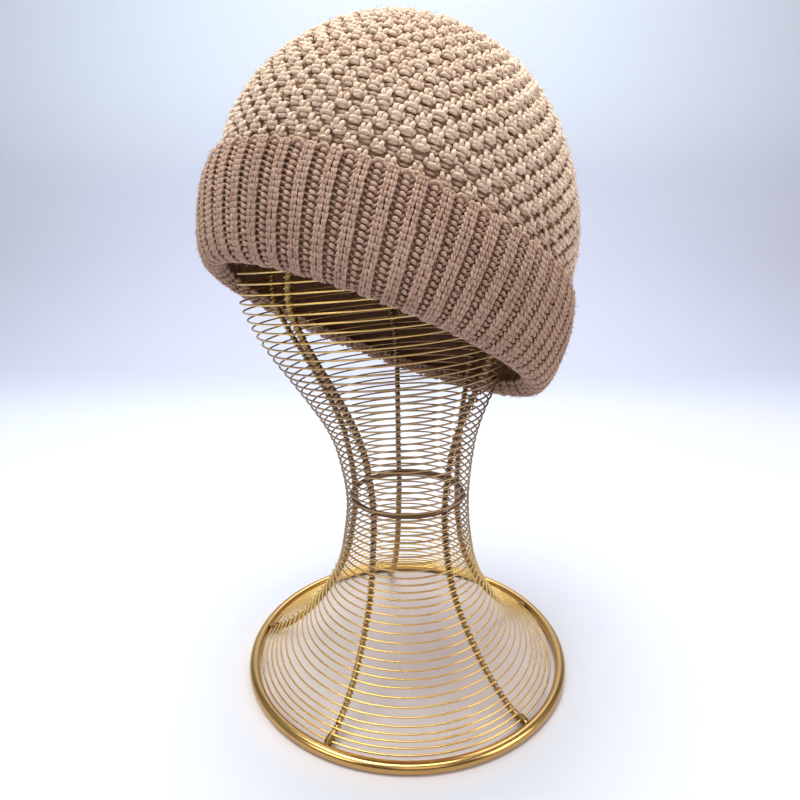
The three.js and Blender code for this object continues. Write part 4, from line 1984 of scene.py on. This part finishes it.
@dataclass
class Studio:
    """The pale floor, the soft lights and the camera.

    Attributes:
        axis: The stand's upright axis.
        camera_place: The camera's place from the axis.
        camera_pitch: Its turn up from straight down.
        lens: Its focal length.
        sensor: Width of its sensor.
        nearest: Distance in metres from which it sees.
        floor_near: Colour of the floor round the stand.
        floor_far: Colour of the floor behind.
        floor_high: Colour of the backdrop.
        floor_painted_glow: Colour of the floor under the brass, lighter and warmer than round it: painted
            light, as if the brass tinted it.
        floor_roughness: Roughness of the floor.
        floor_specular: How much it shines.
        glow_reach: Distances from the middle in metres over which the painted light fades in.
        distance: Distances behind in metres over which its colour turns to the far one.
        ascent: Heights in metres over which the backdrop's colour turns to the high one.
        floor_width: Width of the floor.
        floor_front: Where it starts.
        floor_flat: Where it starts to curve up.
        floor_bend: Radius of that curve.
        floor_top: Height of the backdrop.
        bend_steps: Rows on the curve.
        bend_start: Angle of its first row.
        surround: Colour of the surround's light.
        room: Colour of the darker room in front.
        room_edge: Where the room gives way to the surround, from front to back.
        room_top: Where it gives way upwards.
        surround_strength: Strength of the surround's light.
        target: The point that the lights face, in metres.
    """

    axis: np.ndarray
    camera_place: Place = (-3.7, -272.0, 204.0)
    camera_pitch: float = math.radians(75.5)
    lens: float = 27.0
    sensor: float = 36.0
    nearest: float = 0.01
    floor_near: Colour = (0.56, 0.555, 0.61)
    floor_far: Colour = (0.52, 0.52, 0.63)
    floor_high: Colour = (0.62, 0.65, 0.74)
    floor_painted_glow: Colour = (0.69, 0.60, 0.59)
    floor_roughness: float = 0.7
    floor_specular: float = 0.2
    glow_reach: Rise = Rise(0.092, 0.07)
    distance: Rise = Rise(0.40, 0.66)
    ascent: Rise = Rise(0.15, 0.55)
    floor_width: float = 4400.0
    floor_front: float = -1600.0
    floor_flat: float = 700.0
    floor_bend: float = 350.0
    floor_top: float = 1900.0
    bend_steps: int = 12
    bend_start: float = 0.1
    surround: Colour = (0.95, 0.96, 1.0)
    room: Colour = (0.30, 0.25, 0.21)
    room_edge: Rise = Rise(-0.8, 0.1)
    room_top: Rise = Rise(0.35, 0.8)
    surround_strength: float = 0.4
    target: Place = (0.0, 0.0, 0.15)

    LIGHTS = (
        LightRow("top_light", (-0.15, -0.05, 1.25), 0.9, 23.0, (0.89, 1.0, 0.99)),
        LightRow("left_light", (-0.85, -0.75, 0.75), 0.6, 3.6, (1.0, 0.97, 0.97)),
        LightRow("front_light", (0.15, -1.05, 0.75), 0.6, 1.5, (1.0, 0.94, 0.9)),
        LightRow("right_light", (0.95, -0.45, 0.6), 0.6, 4.8, (1.0, 0.95, 0.92)),
        LightRow("back_light", (0.1, 0.75, 1.3), 0.9, 8.5, (0.98, 0.99, 1.0)),
    )

    def floor(self) -> None:
        """Lay the pale floor, which curves up behind into a plain backdrop."""
        shape = bmesh.new()
        flat, bend = self.floor_flat, self.floor_bend
        curve = np.linspace(self.bend_start, math.pi / 2, self.bend_steps)
        profile = [(self.floor_front, 0.0), (flat, 0.0)]
        profile += [(flat + bend * math.sin(t), bend - bend * math.cos(t)) for t in curve]
        profile.append((flat + bend, self.floor_top))
        verts = [shape.verts.new((-self.floor_width / 2, y, z)) for y, z in profile]
        edges = [shape.edges.new((verts[i], verts[i + 1])) for i in range(len(verts) - 1)]
        made = bmesh.ops.extrude_edge_only(shape, edges=edges)
        moved = [part for part in made["geom"] if isinstance(part, bmesh.types.BMVert)]
        bmesh.ops.translate(shape, vec=(self.floor_width, 0, 0), verts=moved)
        sweep = from_bmesh("pale_floor", shape)
        sweep.data.materials.append(self.floor_material())

    def floor_material(self) -> bpy.types.Material:
        """Make the floor's material, with a painted pool of warmer light under the brass and cooler far
        behind.

        Returns:
            The material.
        """
        material = bpy.data.materials.new("pale_floor")
        material.use_nodes = True
        nodes = Nodes(material.node_tree)
        shader = material.node_tree.nodes["Principled BSDF"]
        place = nodes.place()
        _, back, height = nodes.split(place)
        reach = nodes.add("ShaderNodeVectorMath", operation="LENGTH")
        nodes.join(place, reach.inputs[0])
        # Painted light: a lighter, warmer pool on the floor under the brass.
        warm = nodes.ramp(reach.outputs["Value"], self.glow_reach)
        near = nodes.mix(warm, opaque(self.floor_near), opaque(self.floor_painted_glow))
        far = nodes.mix(nodes.ramp(height, self.ascent), opaque(self.floor_far), opaque(self.floor_high))
        nodes.join(nodes.mix(nodes.ramp(back, self.distance), near, far), shader.inputs["Base Color"])
        shader.inputs["Roughness"].default_value = self.floor_roughness
        shader.inputs["Specular IOR Level"].default_value = self.floor_specular
        return material

    def light(self, row: LightRow) -> None:
        """Hang a soft square light that faces the hat.

        Args:
            row: The light.
        """
        lamp = bpy.data.lights.new(row.name, "AREA")
        lamp.size = row.width
        lamp.energy = row.power
        lamp.color = row.colour
        holder = bpy.data.objects.new(row.name, lamp)
        holder.location = row.place
        aim = Vector(self.target) - Vector(row.place)
        holder.rotation_euler = aim.to_track_quat("-Z", "Y").to_euler()
        bpy.context.scene.collection.objects.link(holder)

    def world(self) -> None:
        """Set a pale surround that is darker in front, where the room is."""
        world = bpy.data.worlds.new("studio")
        world.use_nodes = True
        nodes = Nodes(world.node_tree)
        background = world.node_tree.nodes["Background"]
        _, back, up = nodes.split(nodes.add("ShaderNodeTexCoord").outputs["Generated"])
        lit = nodes.math("MAXIMUM", nodes.ramp(back, self.room_edge), nodes.ramp(up, self.room_top))
        nodes.join(nodes.mix(lit, opaque(self.room), opaque(self.surround)), background.inputs["Color"])
        background.inputs["Strength"].default_value = self.surround_strength
        bpy.context.scene.world = world
        bpy.context.scene.view_settings.view_transform = "Standard"

    def camera(self) -> None:
        """Set the camera at the photograph's angle."""
        lens = bpy.data.cameras.new("camera")
        lens.lens = self.lens
        lens.sensor_width = self.sensor
        lens.clip_start = self.nearest
        holder = bpy.data.objects.new("camera", lens)
        holder.location = (self.axis + np.array(self.camera_place)) * MM
        holder.rotation_euler = (self.camera_pitch, 0, 0)
        bpy.context.scene.collection.objects.link(holder)
        bpy.context.scene.camera = holder

    def build(self) -> None:
        """Set up the studio."""
        self.floor()
        self.world()
        for row in self.LIGHTS:
            self.light(row)
        self.camera()


def main() -> None:
    """Build every piece of the stand and the hat, and the studio round them."""
    logging.basicConfig(level=logging.INFO, format="%(name)s %(message)s")
    axis = stand_axis()
    brass = BrassGrain().group()
    wool = YarnGrain().group()
    aged = AGED_BRASS.material(brass)
    cage = Cage(axis)
    stand = StandFrame(cage)
    stand.build(POLISHED_BRASS.material(brass), aged)
    Winding(cage, stand).build(WIRE_BRASS.material(brass), LASH_BRASS.material(brass), aged)
    hat = HatAxis(axis)
    Cuff(hat).build(CUFF_WOOL.material(wool), CUFF_SHADED_BACKING.material(wool))
    Crown(hat).build(CROWN_WOOL.material(wool), CROWN_SHADED_BACKING.material(wool))
    Studio(axis).build()


if __name__ == "__main__":
    main()
